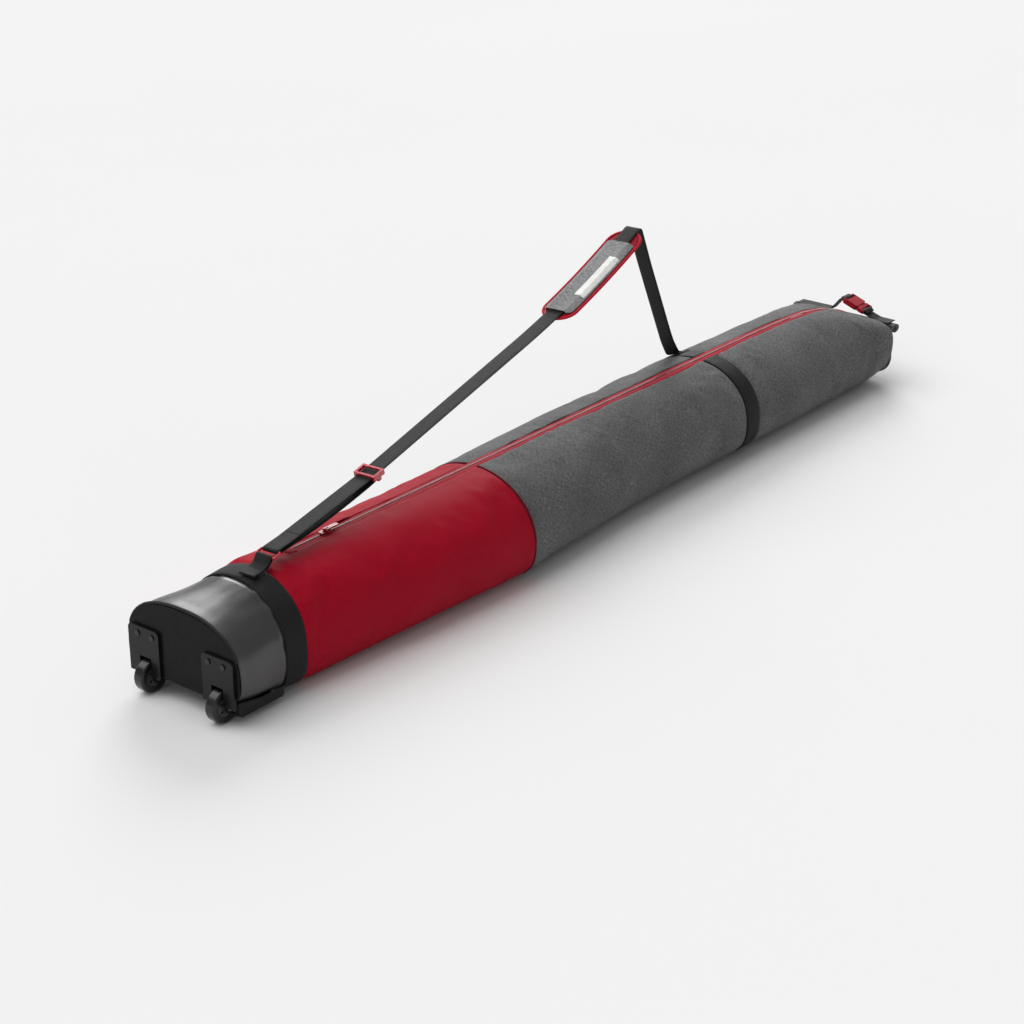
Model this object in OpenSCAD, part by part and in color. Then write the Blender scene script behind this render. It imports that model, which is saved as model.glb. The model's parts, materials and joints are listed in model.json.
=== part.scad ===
// Wheeled ski bag: fabric body with a top zip, wheel end, rolled mouth and shoulder strap.
// s is the distance along the bag from the outer face of the wheel-end panel.

/* [Wheel end] */
// Wheel diameter
wheel_d = 54; // [52:0.5:54]
// Width of a wheel's tread
tread_w = 20; // [16:1:20]
// Distance between the two wheels' mid planes
wheel_track = 150; // [148:1:152]
// Thickness of the moulded end panel
panel_t = 4; // [3:0.5:4]
// Axle diameter
axle_d = 6; // [5:0.5:6]

/* [Fabric body] */
// Thickness of the outer fabric
fabric_t = 1.2; // [0.8:0.1:1.2]
// Thickness of the padded lining
padding_t = 2.8; // [2:0.1:3]
// Where the coated sleeve meets the red panels
sleeve_end = 128; // [124:1:132]
// Where the red panels meet the grey panels
seam_s = 653; // [600:1:700]

/* [Webbing] */
// Width of the two bands round the bag
band_w = 42; // [38:1:44]
// Width of the shoulder strap
strap_w = 30; // [28:1:31]
// Thickness of all webbing
webbing_t = 1.6; // [1.2:0.1:1.6]

/* [Zip] */
// Half of the zip's visible width
zip_half = 12; // [11:0.5:13]
// Length of the puller from its pin
puller_l = 28; // [20:1:30]

/* [Strap fittings] */
// Length of the shoulder pad along its curve
pad_l = 264; // [230:1:266]
// Width of the pad between its piped edges
pad_w = 57; // [54:1:60]
// Diameter of the piping round the pad
piping_d = 6; // [5:0.5:6]

/* [Hidden] */
$fn = 32;
eps = 0.01;

// The bag's cross-section at each distance s: half width, crown height, underside height,
// height of the widest point, roundness of the top and of the bottom, and sideways shift.
// An underside below zero is cut off flat at the floor.
section_rows = [
    [0, 116, 157, 33, 74, 2.5, 5.0, 0],
    [50, 110, 163, 20, 76, 2.2, 5.5, -2],
    [104, 102, 174, 6, 80, 2.0, 5.0, -5],
    [150, 104, 177, -2, 82, 2.0, 4.5, -6],
    [250, 107, 177, -2, 80, 2.1, 4.0, -10],
    [350, 112, 177, -2, 80, 2.0, 3.6, -13],
    [450, 117, 177, -2, 80, 2.0, 3.4, -15],
    [560, 123, 177, -2, 78, 2.0, 3.4, -17],
    [650, 126, 177, -2, 76, 2.0, 3.4, -17],
    [780, 123, 177, -2, 76, 2.1, 3.2, -12],
    [900, 119, 177, -2, 76, 2.1, 3.0, -8],
    [1030, 117, 177, -2, 76, 2.1, 3.0, -5],
    [1160, 118, 177, -2, 76, 2.1, 3.0, -3],
    [1260, 120, 177, -2, 76, 2.1, 3.0, -2],
    [1400, 120, 177, -2, 76, 2.0, 3.2, -2],
    [1560, 118, 176, -2, 76, 2.0, 3.2, -2],
    [1680, 117, 171, -2, 76, 2.0, 3.2, -2],
    [1760, 118, 158, -2, 78, 2.5, 3.2, -1],
    [1800, 121, 145, -2, 84, 3.5, 3.2, 0],
    [1840, 124, 128, 6, 90, 5.0, 2.8, 0]];
section_columns = [for (k = [1:7]) [for (row = section_rows) [row[0], row[k]]]];
mouth_s = 1839;

// Where the two bands lie, and how far they pull the fabric in
front_band_s = 107;
rear_band_s = 1312;
band_dip = 2.6;
band_edge = 8;
dip_steps = [
    for (start = [front_band_s, rear_band_s])
        each [[start - band_edge, 0], [start, band_dip],
              [start + band_w, band_dip], [start + band_w + band_edge, 0]]
];

// The zip line
zip_y = -8;
zip_start = 225;
zip_end = 1812;
butt_gap = 0.15;
zip_gap_steps = [
    [zip_start - 10, butt_gap], [zip_start, zip_half + 0.2],
    [zip_end, zip_half + 0.2], [zip_end + 10, butt_gap]
];
crown_z = 177;
slider_s = 300;
puller_pin_z = crown_z + 6;

// Number of facets on each half of the body
half_steps = 13;
// How many of them belong to the sleeve's base
base_steps = 3;

// Wheels, their brackets and fasteners
wheel_r = wheel_d / 2;
axle_s = 4;
cheek_t = 3;
cheek_gap = 26;
bracket_t = 4.5;
bracket_top = 107;
bracket_inner = 45;
bracket_outer = 109;
rivet_y = [59, 89];
rivet_z = 95;
housing_half = cheek_gap / 2 + cheek_t + 2.6;

// The rolled mouth and its buckle
roll_s = 1856;
roll_z = 113;
roll_rx = 15;
roll_rz = 11;
roll_half = 118;
closure_w = 28;
buckle_y = -27;
buckle_z = 146;
buckle_tilt = 20;
buckle_w = 36;
buckle_t = 11;

// The shoulder strap lies in one upright plane from its front ring to its rear anchor
front_anchor = [158, -20];
rear_anchor = [1325, 60];
strap_yaw = atan2(rear_anchor[1] - front_anchor[1], rear_anchor[0] - front_anchor[0]);
slide_u = 252;
slide_z = 239;
curve_start_u = 670;
curve_start_z = 334;
curve_r = 2000;
curve_a0 = 13;
curve_a1 = 23.6;
curve_u = curve_start_u - curve_r * sin(curve_a0);
curve_z = curve_start_z + curve_r * cos(curve_a0);
slide_angle = atan2(curve_start_z - slide_z, curve_start_u - slide_u);
ring_z = 193;
ring_wire = 4;
ring_w = 39;
ring_pitch = 15;
ring_tilt = 12;
pad_end_gap = 12;

// The origin is at the bottom centre of the whole part
front_s = axle_s - wheel_r;
back_s = roll_s + buckle_w / 2;
mid_s = (front_s + back_s) / 2;
welt_out = 2.4;
side_far = at(mouth_s, 0) + at(mouth_s, 6);
side_near = at(seam_s, 0) - at(seam_s, 6) + welt_out;

module place() translate([-mid_s, (side_near - side_far) / 2, 0]) children();

// ---------------------------------------------------------------- sections of the body

function at(s, column) = lookup(s, section_columns[column]);
function dip_at(s) = lookup(s, dip_steps);

// A point of the body's surface, moved out by o; the angle starts at the far side
function surface_point(s, a, o) =
    let (up = sin(a) >= 0,
         e = up ? at(s, 4) : at(s, 5),
         w = at(s, 0) + o,
         zw = at(s, 3),
         h = (up ? at(s, 1) - zw : zw - at(s, 2)) + o,
         r = pow(pow(abs(cos(a)), e) + pow(abs(sin(a)), e), -1 / e))
    [s, at(s, 6) + w * r * cos(a), max(max(-o, 0), zw + h * r * sin(a))];

// The angle at which the top of the section stands at sideways position y
function angle_at(s, y) =
    let (e = at(s, 4), q = (y - at(s, 6)) / at(s, 0))
    atan2(pow(1 - pow(abs(q), e), 1 / e), q);

function steps(a, b, n) = [for (i = [0:n]) a + (b - a) * i / n];

// Angles round each half of the body, between the zip and the bottom centre
function near_angles(s) =
    steps(angle_at(s, zip_y - lookup(s, zip_gap_steps)), 269.95, half_steps);
function far_angles(s) =
    steps(270.05, 360 + angle_at(s, zip_y + lookup(s, zip_gap_steps)), half_steps);
function round_angles(s) = concat(near_angles(s), far_angles(s));

// Ring positions between two distances, at every change of the section
all_breaks = concat([for (row = section_rows) row[0]], [for (d = dip_steps) d[0]],
                    [for (g = zip_gap_steps) g[0]]);
function less(list, v) = [for (x = list) if (x < v - eps) x];
function more(list, v) = [for (x = list) if (x > v + eps) x];
function sorted(list) =
    len(list) < 2 ? list : concat(sorted(less(list, list[0])), [list[0]], sorted(more(list, list[0])));
function rings_between(a, b) =
    concat([a], [for (s = sorted(all_breaks)) if (s > a + 1 && s < b - 1) s], [b]);

// A sheet with thickness that follows the body from ring to ring
module skin(rings, angles, outer, inner, dips = 1) {
    outs = [for (s = rings) for (a = angles(s)) surface_point(s, a, outer - dips * dip_at(s))];
    ins = [for (s = rings) for (a = angles(s)) surface_point(s, a, inner - dips * dip_at(s))];
    n = len(angles(rings[0]));
    m = len(rings);
    total = n * m;
    faces = concat(
        [for (i = [0:m - 2]) for (j = [0:n - 2]) let (p = i * n + j) each [
            [p, p + n, p + n + 1], [p, p + n + 1, p + 1],
            [total + p, total + p + n + 1, total + p + n], [total + p, total + p + 1, total + p + n + 1]
        ]],
        [for (i = [0:m - 2]) let (p = i * n, q = i * n + n - 1) each [
            [p, total + p, total + p + n], [p, total + p + n, p + n],
            [q, total + q + n, total + q], [q, q + n, total + q + n]
        ]],
        [for (j = [0:n - 2]) let (p = j, q = (m - 1) * n + j) each [
            [p, p + 1, total + p + 1], [p, total + p + 1, total + p],
            [q, total + q + 1, q + 1], [q, total + q, total + q + 1]
        ]]
    );
    polyhedron(concat(outs, ins), faces, convexity = 8);
}

// ---------------------------------------------------------------- shared shapes

// The outline of a strip of thickness t that follows points in a plane
function unit(v) = v / norm(v);
function left_of(v) = [-v[1], v[0]];
function mitre(points, i) =
    let (n = len(points),
         a = i > 0 ? left_of(unit(points[i] - points[i - 1])) : left_of(unit(points[1] - points[0])),
         b = i < n - 1 ? left_of(unit(points[i + 1] - points[i])) : a,
         m = unit(a + b))
    m / max(0.5, m * b);
function strip_outline(points, t) = concat(
    [for (i = [0:len(points) - 1]) points[i] + mitre(points, i) * t / 2],
    [for (i = [len(points) - 1:-1:0]) points[i] - mitre(points, i) * t / 2]);

// Draws a flat outline in the x-z plane and gives it a width along y
module across(w) rotate([90, 0, 0]) linear_extrude(w, center = true) children();

// Draws a flat outline in the y-z plane and gives it a length along x
module along(l) rotate([90, 0, 90]) linear_extrude(l) children();

module ribbon(points, w, t = webbing_t) across(w) polygon(strip_outline(points, t));

// A square with round corners, centred
module round_rect(w, h, r) {
    square([w - 2 * r, h], center = true);
    square([w, h - 2 * r], center = true);
    for (x = [-1, 1], y = [-1, 1]) translate([x * (w / 2 - r), y * (h / 2 - r)]) circle(r);
}

// ---------------------------------------------------------------- wheel end

function panel_outline(o) = [for (a = [0:7.5:352.5]) let (p = surface_point(0, a, o)) [p[1], p[2]]];

module housing_room() {
    for (side = [-1, 1])
        translate([-20, side * wheel_track / 2 - housing_half, 0])
            cube([58, 2 * housing_half, 62]);
}

module rivet_holes(r) {
    for (side = [-1, 1], y = rivet_y)
        translate([-20, side * y, rivet_z]) rotate([0, 90, 0]) cylinder(h = 40, r = r);
}

module end_panel() color("#1d1d1e") place() difference() {
    union() {
        along(panel_t) polygon(panel_outline(-1.4));
        translate([panel_t - eps, 0, 0]) along(5) difference() {
            polygon(panel_outline(-4.8));
            polygon(panel_outline(-7.2));
        }
    }
    housing_room();
    rivet_holes(2.5);
}

module end_piping() color("#151516") place()
    skin([0.4, 5.2], function(s) steps(14, 166, 24), 3, -0.5, 0);

module backing_plate() color("#3a3a3c") place() difference() {
    translate([panel_t + 0.1, 0, 0]) along(2.8) intersection() {
        polygon(panel_outline(-7.8));
        translate([-105, 40]) square([210, 66]);
    }
    housing_room();
    rivet_holes(2.5);
}

// Front plate and the two cheeks that hold the axle, for the far-side wheel
module bracket_shape() difference() {
    union() {
        translate([-bracket_t, 0, 0]) along(bracket_t) difference() {
            translate([(bracket_inner + bracket_outer) / 2, 0]) union() {
                translate([-(bracket_outer - bracket_inner) / 2, 30])
                    square([bracket_outer - bracket_inner, bracket_top - 38]);
                translate([0, bracket_top - 10])
                    round_rect(bracket_outer - bracket_inner, 20, 8);
            }
            translate([wheel_track / 2 - 12, 0]) square([24, 59]);
        }
        for (y = [-1, 1])
            translate([0, wheel_track / 2 + y * (cheek_gap + cheek_t) / 2, 0]) across(cheek_t) {
                translate([-bracket_t, wheel_r]) square([bracket_t + 37, 60 - wheel_r]);
                translate([axle_s + 6, wheel_r]) circle(13);
            }
        translate([-bracket_t, wheel_track / 2 - cheek_gap / 2 - 0.5, 59])
            cube([bracket_t + 37, cheek_gap + 1, 2]);
        translate([35, wheel_track / 2 - cheek_gap / 2 - 0.5, wheel_r])
            cube([2, cheek_gap + 1, 60 - wheel_r]);
    }
    translate([axle_s, wheel_track / 2, wheel_r]) rotate([90, 0, 0])
        cylinder(h = 60, d = axle_d + 0.04, center = true);
    rivet_holes(2.5);
}
module wheel_bracket_left() color("#2b2b2d") place() bracket_shape();
module wheel_bracket_right() color("#2b2b2d") place() mirror([0, 1, 0]) bracket_shape();

module tread_shape(side) translate([axle_s, side * wheel_track / 2, wheel_r])
    rotate([90, 0, 0]) rotate_extrude($fn = 64) difference() {
        union() {
            translate([17, -tread_w / 2]) square([wheel_r - 21, tread_w]);
            translate([wheel_r - 4.01, -tread_w / 2 + 4]) square([4.01, tread_w - 8]);
            for (y = [-1, 1]) translate([wheel_r - 4, y * (tread_w / 2 - 4)]) circle(4);
        }
    }
module wheel_tread_left() color("#101011") place() tread_shape(1);
module wheel_tread_right() color("#101011") place() tread_shape(-1);

module hub_shape(side) translate([axle_s, side * wheel_track / 2, wheel_r])
    rotate([90, 0, 0]) difference() {
        union() {
            cylinder(h = tread_w - 2, r = 16.97, center = true, $fn = 64);
            cylinder(h = cheek_gap - 3, r = 6, center = true);
        }
        cylinder(h = 60, d = axle_d + 0.1, center = true);
        for (a = [0:72:288]) rotate([0, 0, a]) translate([11.2, 0, 0])
            cylinder(h = 60, r = 2.6, center = true);
    }
module wheel_hub_left() color("#3f3f42") place() hub_shape(1);
module wheel_hub_right() color("#3f3f42") place() hub_shape(-1);

module axles() color("#8d9095") place() for (side = [-1, 1])
    translate([axle_s, side * wheel_track / 2, wheel_r]) rotate([90, 0, 0]) {
        cylinder(h = cheek_gap + 2 * cheek_t + 0.4, d = axle_d, center = true);
        for (end = [-1, 1]) translate([0, 0, end * (cheek_gap / 2 + cheek_t + 1)])
            cylinder(h = 1.6, r = 4.6, center = true);
    }

module bracket_rivets() color("#55565a") place() for (side = [-1, 1], y = rivet_y)
    translate([0, side * y, rivet_z]) rotate([0, 90, 0]) {
        translate([0, 0, -bracket_t - 1.6]) cylinder(h = 1.59, r = 4.6);
        translate([0, 0, -bracket_t - 0.1]) cylinder(h = 12.5, r = 2.4);
        translate([0, 0, 8.6]) cylinder(h = 1.4, r = 3.6);
    }

module rivet_washers() color("#9a9ca0") place() for (side = [-1, 1], y = rivet_y)
    translate([7, side * y, rivet_z]) rotate([0, 90, 0]) difference() {
        cylinder(h = 1.4, r = 6.5);
        translate([0, 0, -1]) cylinder(h = 4, r = 2.5);
    }

// A thin tray under the wheel end, with a runner along each side
module skid_tray() color("#39393b") place() difference() {
    union() {
        skin([4, 50, 102], function(s) steps(221, 319, 16), 3.6, 1.2, 0);
        for (y = [-100.5, 95.5]) translate([0, y, 0]) across(8)
            polygon([[9, 15], [13, 11], [97, 11], [101, 14], [101, 36], [9, 42]]);
    }
    skin([0, 50, 104], function(s) steps(180, 360, 30), 1, -36, 0);
    housing_room();
}

module boot_sleeve() color("#6f6f6d") place() difference() {
    skin(concat([5.6], rings_between(9, sleeve_end - 0.2)), function(s) concat(
        [for (i = [base_steps:half_steps]) far_angles(s)[i] - 360],
        [for (i = [0:half_steps - base_steps]) near_angles(s)[i]]
    ), 0, -fabric_t);
    housing_room();
}

module sleeve_base() color("#3c3c3d") place()
    skin(rings_between(46, sleeve_end - 0.2), function(s) concat(
        [near_angles(s)[half_steps - base_steps] + 0.3],
        [for (i = [half_steps - base_steps + 1:half_steps]) near_angles(s)[i]],
        [for (i = [0:base_steps - 1]) far_angles(s)[i]],
        [far_angles(s)[base_steps] - 0.3]
    ), 0, -fabric_t);

// ---------------------------------------------------------------- fabric body

module red_panel(angles) color("#b3182f") place()
    skin(rings_between(sleeve_end + 0.2, seam_s - 0.3), angles, 0, -fabric_t);
module red_panel_near() red_panel(function(s) near_angles(s));
module red_panel_far() red_panel(function(s) far_angles(s));

module grey_panel(angles) color("#606062") place()
    skin(rings_between(seam_s + 0.3, mouth_s), angles, 0, -fabric_t);
module grey_panel_near() grey_panel(function(s) near_angles(s));
module grey_panel_far() grey_panel(function(s) far_angles(s));

// The cord-edged seam between the red and the grey panels; it stops short of the bottom
module panel_welt() color("#4a0a16") place() {
    near = function(s) [for (a = near_angles(s)) if (a < 240) a];
    far = function(s) [for (a = far_angles(s)) if (a > 300) a];
    for (angles = [near, far])
        skin([seam_s - 2, seam_s + 2], angles, welt_out, 0.15);
}

module padded_lining() color("#2f2f31") place()
    skin(rings_between(46, mouth_s - 3), function(s) round_angles(s),
         -band_dip - fabric_t - 0.4, -band_dip - fabric_t - 0.4 - padding_t, 0);

module front_band() color("#232325") place()
    skin([front_band_s, front_band_s + band_w], function(s) round_angles(s),
         -0.1, -0.1 - webbing_t, 0);

module rear_band() color("#232325") place()
    skin([rear_band_s, rear_band_s + band_w], function(s) round_angles(s),
         -0.1, -0.1 - webbing_t, 0);

// ---------------------------------------------------------------- zip

coil_inner = 0.7;
coil_outer = 2.7;
tape_inner = 2.85;
module zip_strip(y0, y1, outer, inner)
    skin(rings_between(zip_start, zip_end),
         function(s) [angle_at(s, max(y0, y1)), angle_at(s, min(y0, y1))], outer, inner, 0);

module zip_tape_near() color("#c02038") place()
    zip_strip(zip_y - tape_inner, zip_y - zip_half, -0.2, -1.4);
module zip_tape_far() color("#c02038") place()
    zip_strip(zip_y + tape_inner, zip_y + zip_half, -0.2, -1.4);
module zip_coil() color("#8f1226") place() for (side = [-1, 1])
    zip_strip(zip_y + side * coil_inner, zip_y + side * coil_outer, 1.2, -1.4);

module zip_end_tabs() color("#a3182c") place() for (s = [zip_start - 16, zip_end - 4])
    skin(rings_between(s, s + 20), function(s) steps(angle_at(s, zip_y + 14),
         angle_at(s, zip_y - 14), 4), 2.8, 1.5, 0);

module zip_slider() color("#a51a30") place() translate([slider_s, zip_y, crown_z]) {
    translate([0, 0, 1.9]) linear_extrude(1.6) round_rect(20, 11, 3);
    translate([-9, -0.35, -4]) cube([10, 0.7, 6.2]);
    translate([0, 0, -4.6]) linear_extrude(1.4) round_rect(19, 10, 3);
    difference() {
        translate([-3, -1.5, 3.4]) cube([6, 3, 4.6]);
        translate([0, 0, puller_pin_z - crown_z]) rotate([90, 0, 0])
            cylinder(h = 10, r = 1.2, center = true);
    }
}

module zip_puller() color("#8c1527") place() translate([slider_s, zip_y, puller_pin_z]) {
    rotate([90, 0, 0]) cylinder(h = 7, r = 1.1, center = true);
    for (side = [-1, 1])
        translate([-1.5, side * 3 - 1, -1]) cube([9, 2, 2]);
    translate([7, -4, -1]) cube([2.5, 8, 2]);
    translate([(puller_l + 9) / 2, 0, -1]) linear_extrude(2) round_rect(puller_l - 9, 8, 3);
}

// ---------------------------------------------------------------- rolled mouth

gusset_rings = [[mouth_s + 1, 121, 44], [mouth_s + 12, 117, 42], [mouth_s + 22, 104, 36],
                [mouth_s + 29, 84, 28]];
gusset_z = 55;
gusset_sides = 28;
module mouth_gusset() color("#57575a") place() {
    points = [
        for (g = gusset_rings) for (i = [0:gusset_sides - 1])
            let (a = 360 * i / gusset_sides,
                 r = pow(pow(abs(cos(a)), 3) + pow(abs(sin(a)), 3), -1 / 3))
            [g[0], g[1] * r * cos(a), gusset_z + g[2] * r * sin(a)]
    ];
    last = (len(gusset_rings) - 1) * gusset_sides;
    faces = concat(
        [for (k = [0:len(gusset_rings) - 2]) for (i = [0:gusset_sides - 1])
            let (p = k * gusset_sides + i, q = k * gusset_sides + (i + 1) % gusset_sides)
            each [[p, p + gusset_sides, q + gusset_sides], [p, q + gusset_sides, q]]],
        [[for (i = [0:gusset_sides - 1]) i]],
        [[for (i = [gusset_sides - 1:-1:0]) last + i]]
    );
    polyhedron(points, faces, convexity = 4);
}

module mouth_roll() color("#4b4b4d") place() translate([roll_s, 0, roll_z])
    across(2 * roll_half)
        polygon([for (a = [0:15:345]) [roll_rx * cos(a), roll_rz * sin(a)]]);

roll_top = roll_z + roll_rz;

// A point in the buckle's own frame, whose x runs from the socket's bar to the prongs' bar
function buckle_point(x, z) =
    [buckle_y - x * cos(buckle_tilt) - z * sin(buckle_tilt),
     buckle_z - x * sin(buckle_tilt) + z * cos(buckle_tilt)];
bar_in = 22;
bar_out = 26;
bar_half = 2;
bar_clear = 0.3 + webbing_t / 2;
function bar_loop(side) = [
    buckle_point(side * (bar_out + 8), -bar_half - bar_clear),
    buckle_point(side * (bar_in - bar_clear), -bar_half - bar_clear),
    buckle_point(side * (bar_in - bar_clear), bar_half + bar_clear),
    buckle_point(side * (bar_out + bar_clear), bar_half + bar_clear),
    buckle_point(side * (bar_out + 6), 0.6)
];
module closure_strap(points) color("#262628") place()
    translate([roll_s - closure_w / 2, 0, 0]) along(closure_w)
        polygon(strip_outline(points, webbing_t));
module closure_strap_far()
    closure_strap(concat([[108, roll_top + 1.2], [30, roll_top + 1.6]], bar_loop(-1)));
module closure_strap_near()
    closure_strap(concat([[-108, roll_top + 1.2], [-76, roll_top + 1.4]], bar_loop(1)));

module buckle_frame() place() translate([roll_s, buckle_y, buckle_z])
    rotate([buckle_tilt, 0, 0]) rotate([0, 0, -90]) children();

// Leaves a slim bar for the webbing at one end of a buckle half
module bar_cut(side) {
    inner = bar_in - 5;
    translate([side > 0 ? inner : -bar_in, -closure_w / 2 - 1, -20])
        cube([bar_in - inner, closure_w + 2, 40]);
    for (z = [bar_half, -bar_half - 20])
        translate([side > 0 ? inner : -bar_out - 9, -closure_w / 2 - 1, z])
            cube([bar_out - inner + 9, closure_w + 2, 20]);
}

module buckle_socket() color("#b01c30") buckle_frame() difference() {
    translate([-9, 0, -buckle_t / 2]) linear_extrude(buckle_t) round_rect(34, buckle_w, 5);
    translate([-4.2, -buckle_w / 2 + 4, -buckle_t / 2 + 2.5]) cube([20, buckle_w - 8, buckle_t - 5]);
    bar_cut(-1);
}

module buckle_prong() color("#b01c30") buckle_frame() difference() {
    union() {
        translate([17.5, 0, -4]) linear_extrude(8) round_rect(17, buckle_w, 4);
        for (side = [-1, 1])
            translate([-2, side * (buckle_w / 2 - 8) - 2.5, -2.4]) cube([12, 5, 4.8]);
        translate([-2, -2, -2.4]) cube([12, 4, 4.8]);
    }
    bar_cut(1);
}

// ---------------------------------------------------------------- shoulder strap

// Local x runs level along the strap's plane from the front ring, z is up
module strap_frame() place() translate([front_anchor[0], front_anchor[1], 0])
    rotate([0, 0, strap_yaw]) children();

// A point on the strap's curve at angle a, moved up by n
function curve_point(a, n) = [curve_u + (curve_r - n) * sin(a), curve_z - (curve_r - n) * cos(a)];
function curve_points(a0, a1, n) = [for (a = steps(a0, a1, 14)) curve_point(a, n)];
degrees_per_mm = 180 / PI / curve_r;

// The tab holds the ring's front bar, and the strap goes round its rear bar
ring_rear = [ring_pitch * cos(ring_tilt), ring_z + ring_pitch * sin(ring_tilt)];
turn_r = ring_wire / 2 + 0.4 + webbing_t / 2;
function turn(centre, a0, a1) =
    [for (a = steps(a0, a1, 6)) centre + turn_r * [cos(a), sin(a)]];

peak = curve_point(curve_a1, 0);
front_bend = [50, 203.5];
front_split = front_bend + 0.06 * ([slide_u, slide_z] - front_bend);
rear_split = [1131.8, 232];
module shoulder_strap() color("#2e2e30") strap_frame() ribbon(concat(
    [front_split, [slide_u, slide_z]],
    curve_points(curve_a0, curve_a1, 0),
    [[peak[0] + 5, peak[1] - 3], [1058, 378], rear_split]
), strap_w);

// The short length that twists between the ring and the upper run
module strap_front_end() color("#2e2e30") strap_frame() ribbon(concat(
    turn(ring_rear, 180 + ring_tilt, 90 + ring_tilt),
    [front_bend, front_split - 0.4 * unit(front_split - front_bend)]
), strap_w);

// The lower layer, from the ring to the slide's middle bar and round it
slide_bar_z = -6;
slide_bar_r = 1.5;
module strap_return() color("#232325") strap_frame() {
    round_bar = slide_bar_r + 0.3 + webbing_t / 2;
    on_slide = function(x, z) [
        slide_u + x * cos(slide_angle) - z * sin(slide_angle),
        slide_z + x * sin(slide_angle) + z * cos(slide_angle)
    ];
    ribbon(concat(
        turn(ring_rear, 196 + ring_tilt, 278 + ring_tilt),
        [[60, 196.4], on_slide(-16, slide_bar_z - round_bar - 0.2)],
        [for (a = steps(-90, 90, 6))
            on_slide(round_bar * cos(a), slide_bar_z + round_bar * sin(a))],
        [on_slide(-12, slide_bar_z - round_bar + 2)]
    ), strap_w);
}

// The foot of the strap, rolled sideways to lie along the side of the bag
rear_stations = [
    [rear_split + [0.4, -0.8], 0], [[1150, 200], -10], [[1161, 181], -20], [[1170, 167], -26]
];
module strap_rear_end() color("#2e2e30") strap_frame() {
    path = [for (k = rear_stations) k[0]];
    n = len(path);
    corner = function(k, w, t)
        let (roll = rear_stations[k][1], c = path[k] + mitre(path, k) * t * webbing_t / 2)
        [c[0], w * strap_w / 2 * cos(roll), c[1] + w * strap_w / 2 * sin(roll)];
    points = [for (k = [0:n - 1]) each
        [corner(k, -1, -1), corner(k, 1, -1), corner(k, 1, 1), corner(k, -1, 1)]];
    faces = concat(
        [for (k = [0:n - 2]) for (i = [0:3])
            let (p = 4 * k + i, q = 4 * k + (i + 1) % 4) each [[p, q, q + 4], [p, q + 4, p + 4]]],
        [[3, 2, 1, 0]], [[for (i = [0:3]) 4 * (n - 1) + i]]
    );
    polyhedron(points, faces, convexity = 4);
}

module rod(length) rotate([90, 0, 0]) cylinder(h = length, d = ring_wire, center = true);
module strap_ring() color("#c4203a") strap_frame() translate([0, 0, ring_z])
    rotate([0, -ring_tilt, 0]) {
        for (x = [0, ring_pitch]) translate([x, 0, 0]) rod(ring_w - ring_wire);
        for (side = [-1, 1]) translate([0, side * (ring_w - ring_wire) / 2, 0]) {
            rotate([0, 90, 0]) cylinder(h = ring_pitch, d = ring_wire);
            for (x = [0, ring_pitch]) translate([x, 0, 0]) sphere(d = ring_wire);
        }
    }

// Sewn to the front band, passes up round the ring's front bar and back
module front_anchor_tab() color("#232325") strap_frame() {
    back = [-42, crown_z + 1.4];
    ribbon(concat([back, [-14, crown_z + 3.2]], turn([0, ring_z], -75, 60),
                  turn([0, ring_z], 82, 150), [[-16, crown_z + 7], [-42, crown_z + 3.4]]), strap_w);
}

// Three-bar slide: the end bars lie over the strap, the middle bar under it
module strap_slide() color("#c4203a") strap_frame() translate([slide_u, 0, slide_z])
    rotate([0, -slide_angle, 0]) {
        for (side = [-1, 1])
            translate([0, side * (strap_w / 2 + 3.5), 1.2]) cube([26, 4, 8.6], center = true);
        for (side = [-1, 1])
            translate([0, side * (strap_w / 2 + 3.5), -5]) cube([7, 4, 6], center = true);
        for (x = [-11, 11]) translate([x, 0, 4]) cube([4, strap_w + 7, 3], center = true);
        translate([0, 0, slide_bar_z]) rotate([90, 0, 0])
            cylinder(h = strap_w + 7, r = slide_bar_r, center = true);
    }

// The rear tab is sewn on the far side of the rear band, under the strap's foot
module rear_anchor_tab() color("#232325") place()
    skin([rear_band_s - 6, rear_band_s + band_w + 4], function(s) steps(angle_at(s, 80),
         angle_at(s, 42), 4), 2.2, 0.4, 0);

// ---------------------------------------------------------------- shoulder pad

pad_a1 = curve_a1 - pad_end_gap * degrees_per_mm;
pad_a0 = pad_a1 - pad_l * degrees_per_mm;
// Distance from each end at which the outline reaches its full width
pad_round = 30;
function end_width(d, w) = let (q = max(0, 1 - d / pad_round)) w * sqrt(max(0.04, 1 - q * q));
pad_slices = concat([0, 1.5, 4, 8, 13, 20], steps(pad_round, pad_l - pad_round, 5),
                    [for (d = [20, 13, 8, 4, 1.5, 0]) pad_l - d]);

// A layer of the pad between two heights above the strap, drawn slice by slice
module pad_layer(top, bottom, w, d0, d1) {
    slices = concat([d0], [for (d = pad_slices) if (d > d0 + eps && d < d1 - eps) d], [d1]);
    n = len(slices);
    width = function(d) end_width(min(d, pad_l - d), w) / 2;
    corner = function(d, side, h)
        let (p = curve_point(pad_a0 + d * degrees_per_mm, h)) [p[0], side * width(d), p[1]];
    points = [for (d = slices) each [corner(d, -1, bottom), corner(d, 1, bottom),
                                     corner(d, 1, top), corner(d, -1, top)]];
    faces = concat(
        [for (k = [0:n - 2]) for (i = [0:3])
            let (p = 4 * k + i, q = 4 * k + (i + 1) % 4) each [[p, q, q + 4], [p, q + 4, p + 4]]],
        [[3, 2, 1, 0]], [[for (i = [0:3]) 4 * (n - 1) + i]]
    );
    polyhedron(points, faces, convexity = 4);
}

module pad_back() color("#a8182d") strap_frame() pad_layer(-1.7, -8, pad_w, 0, pad_l);

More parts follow.
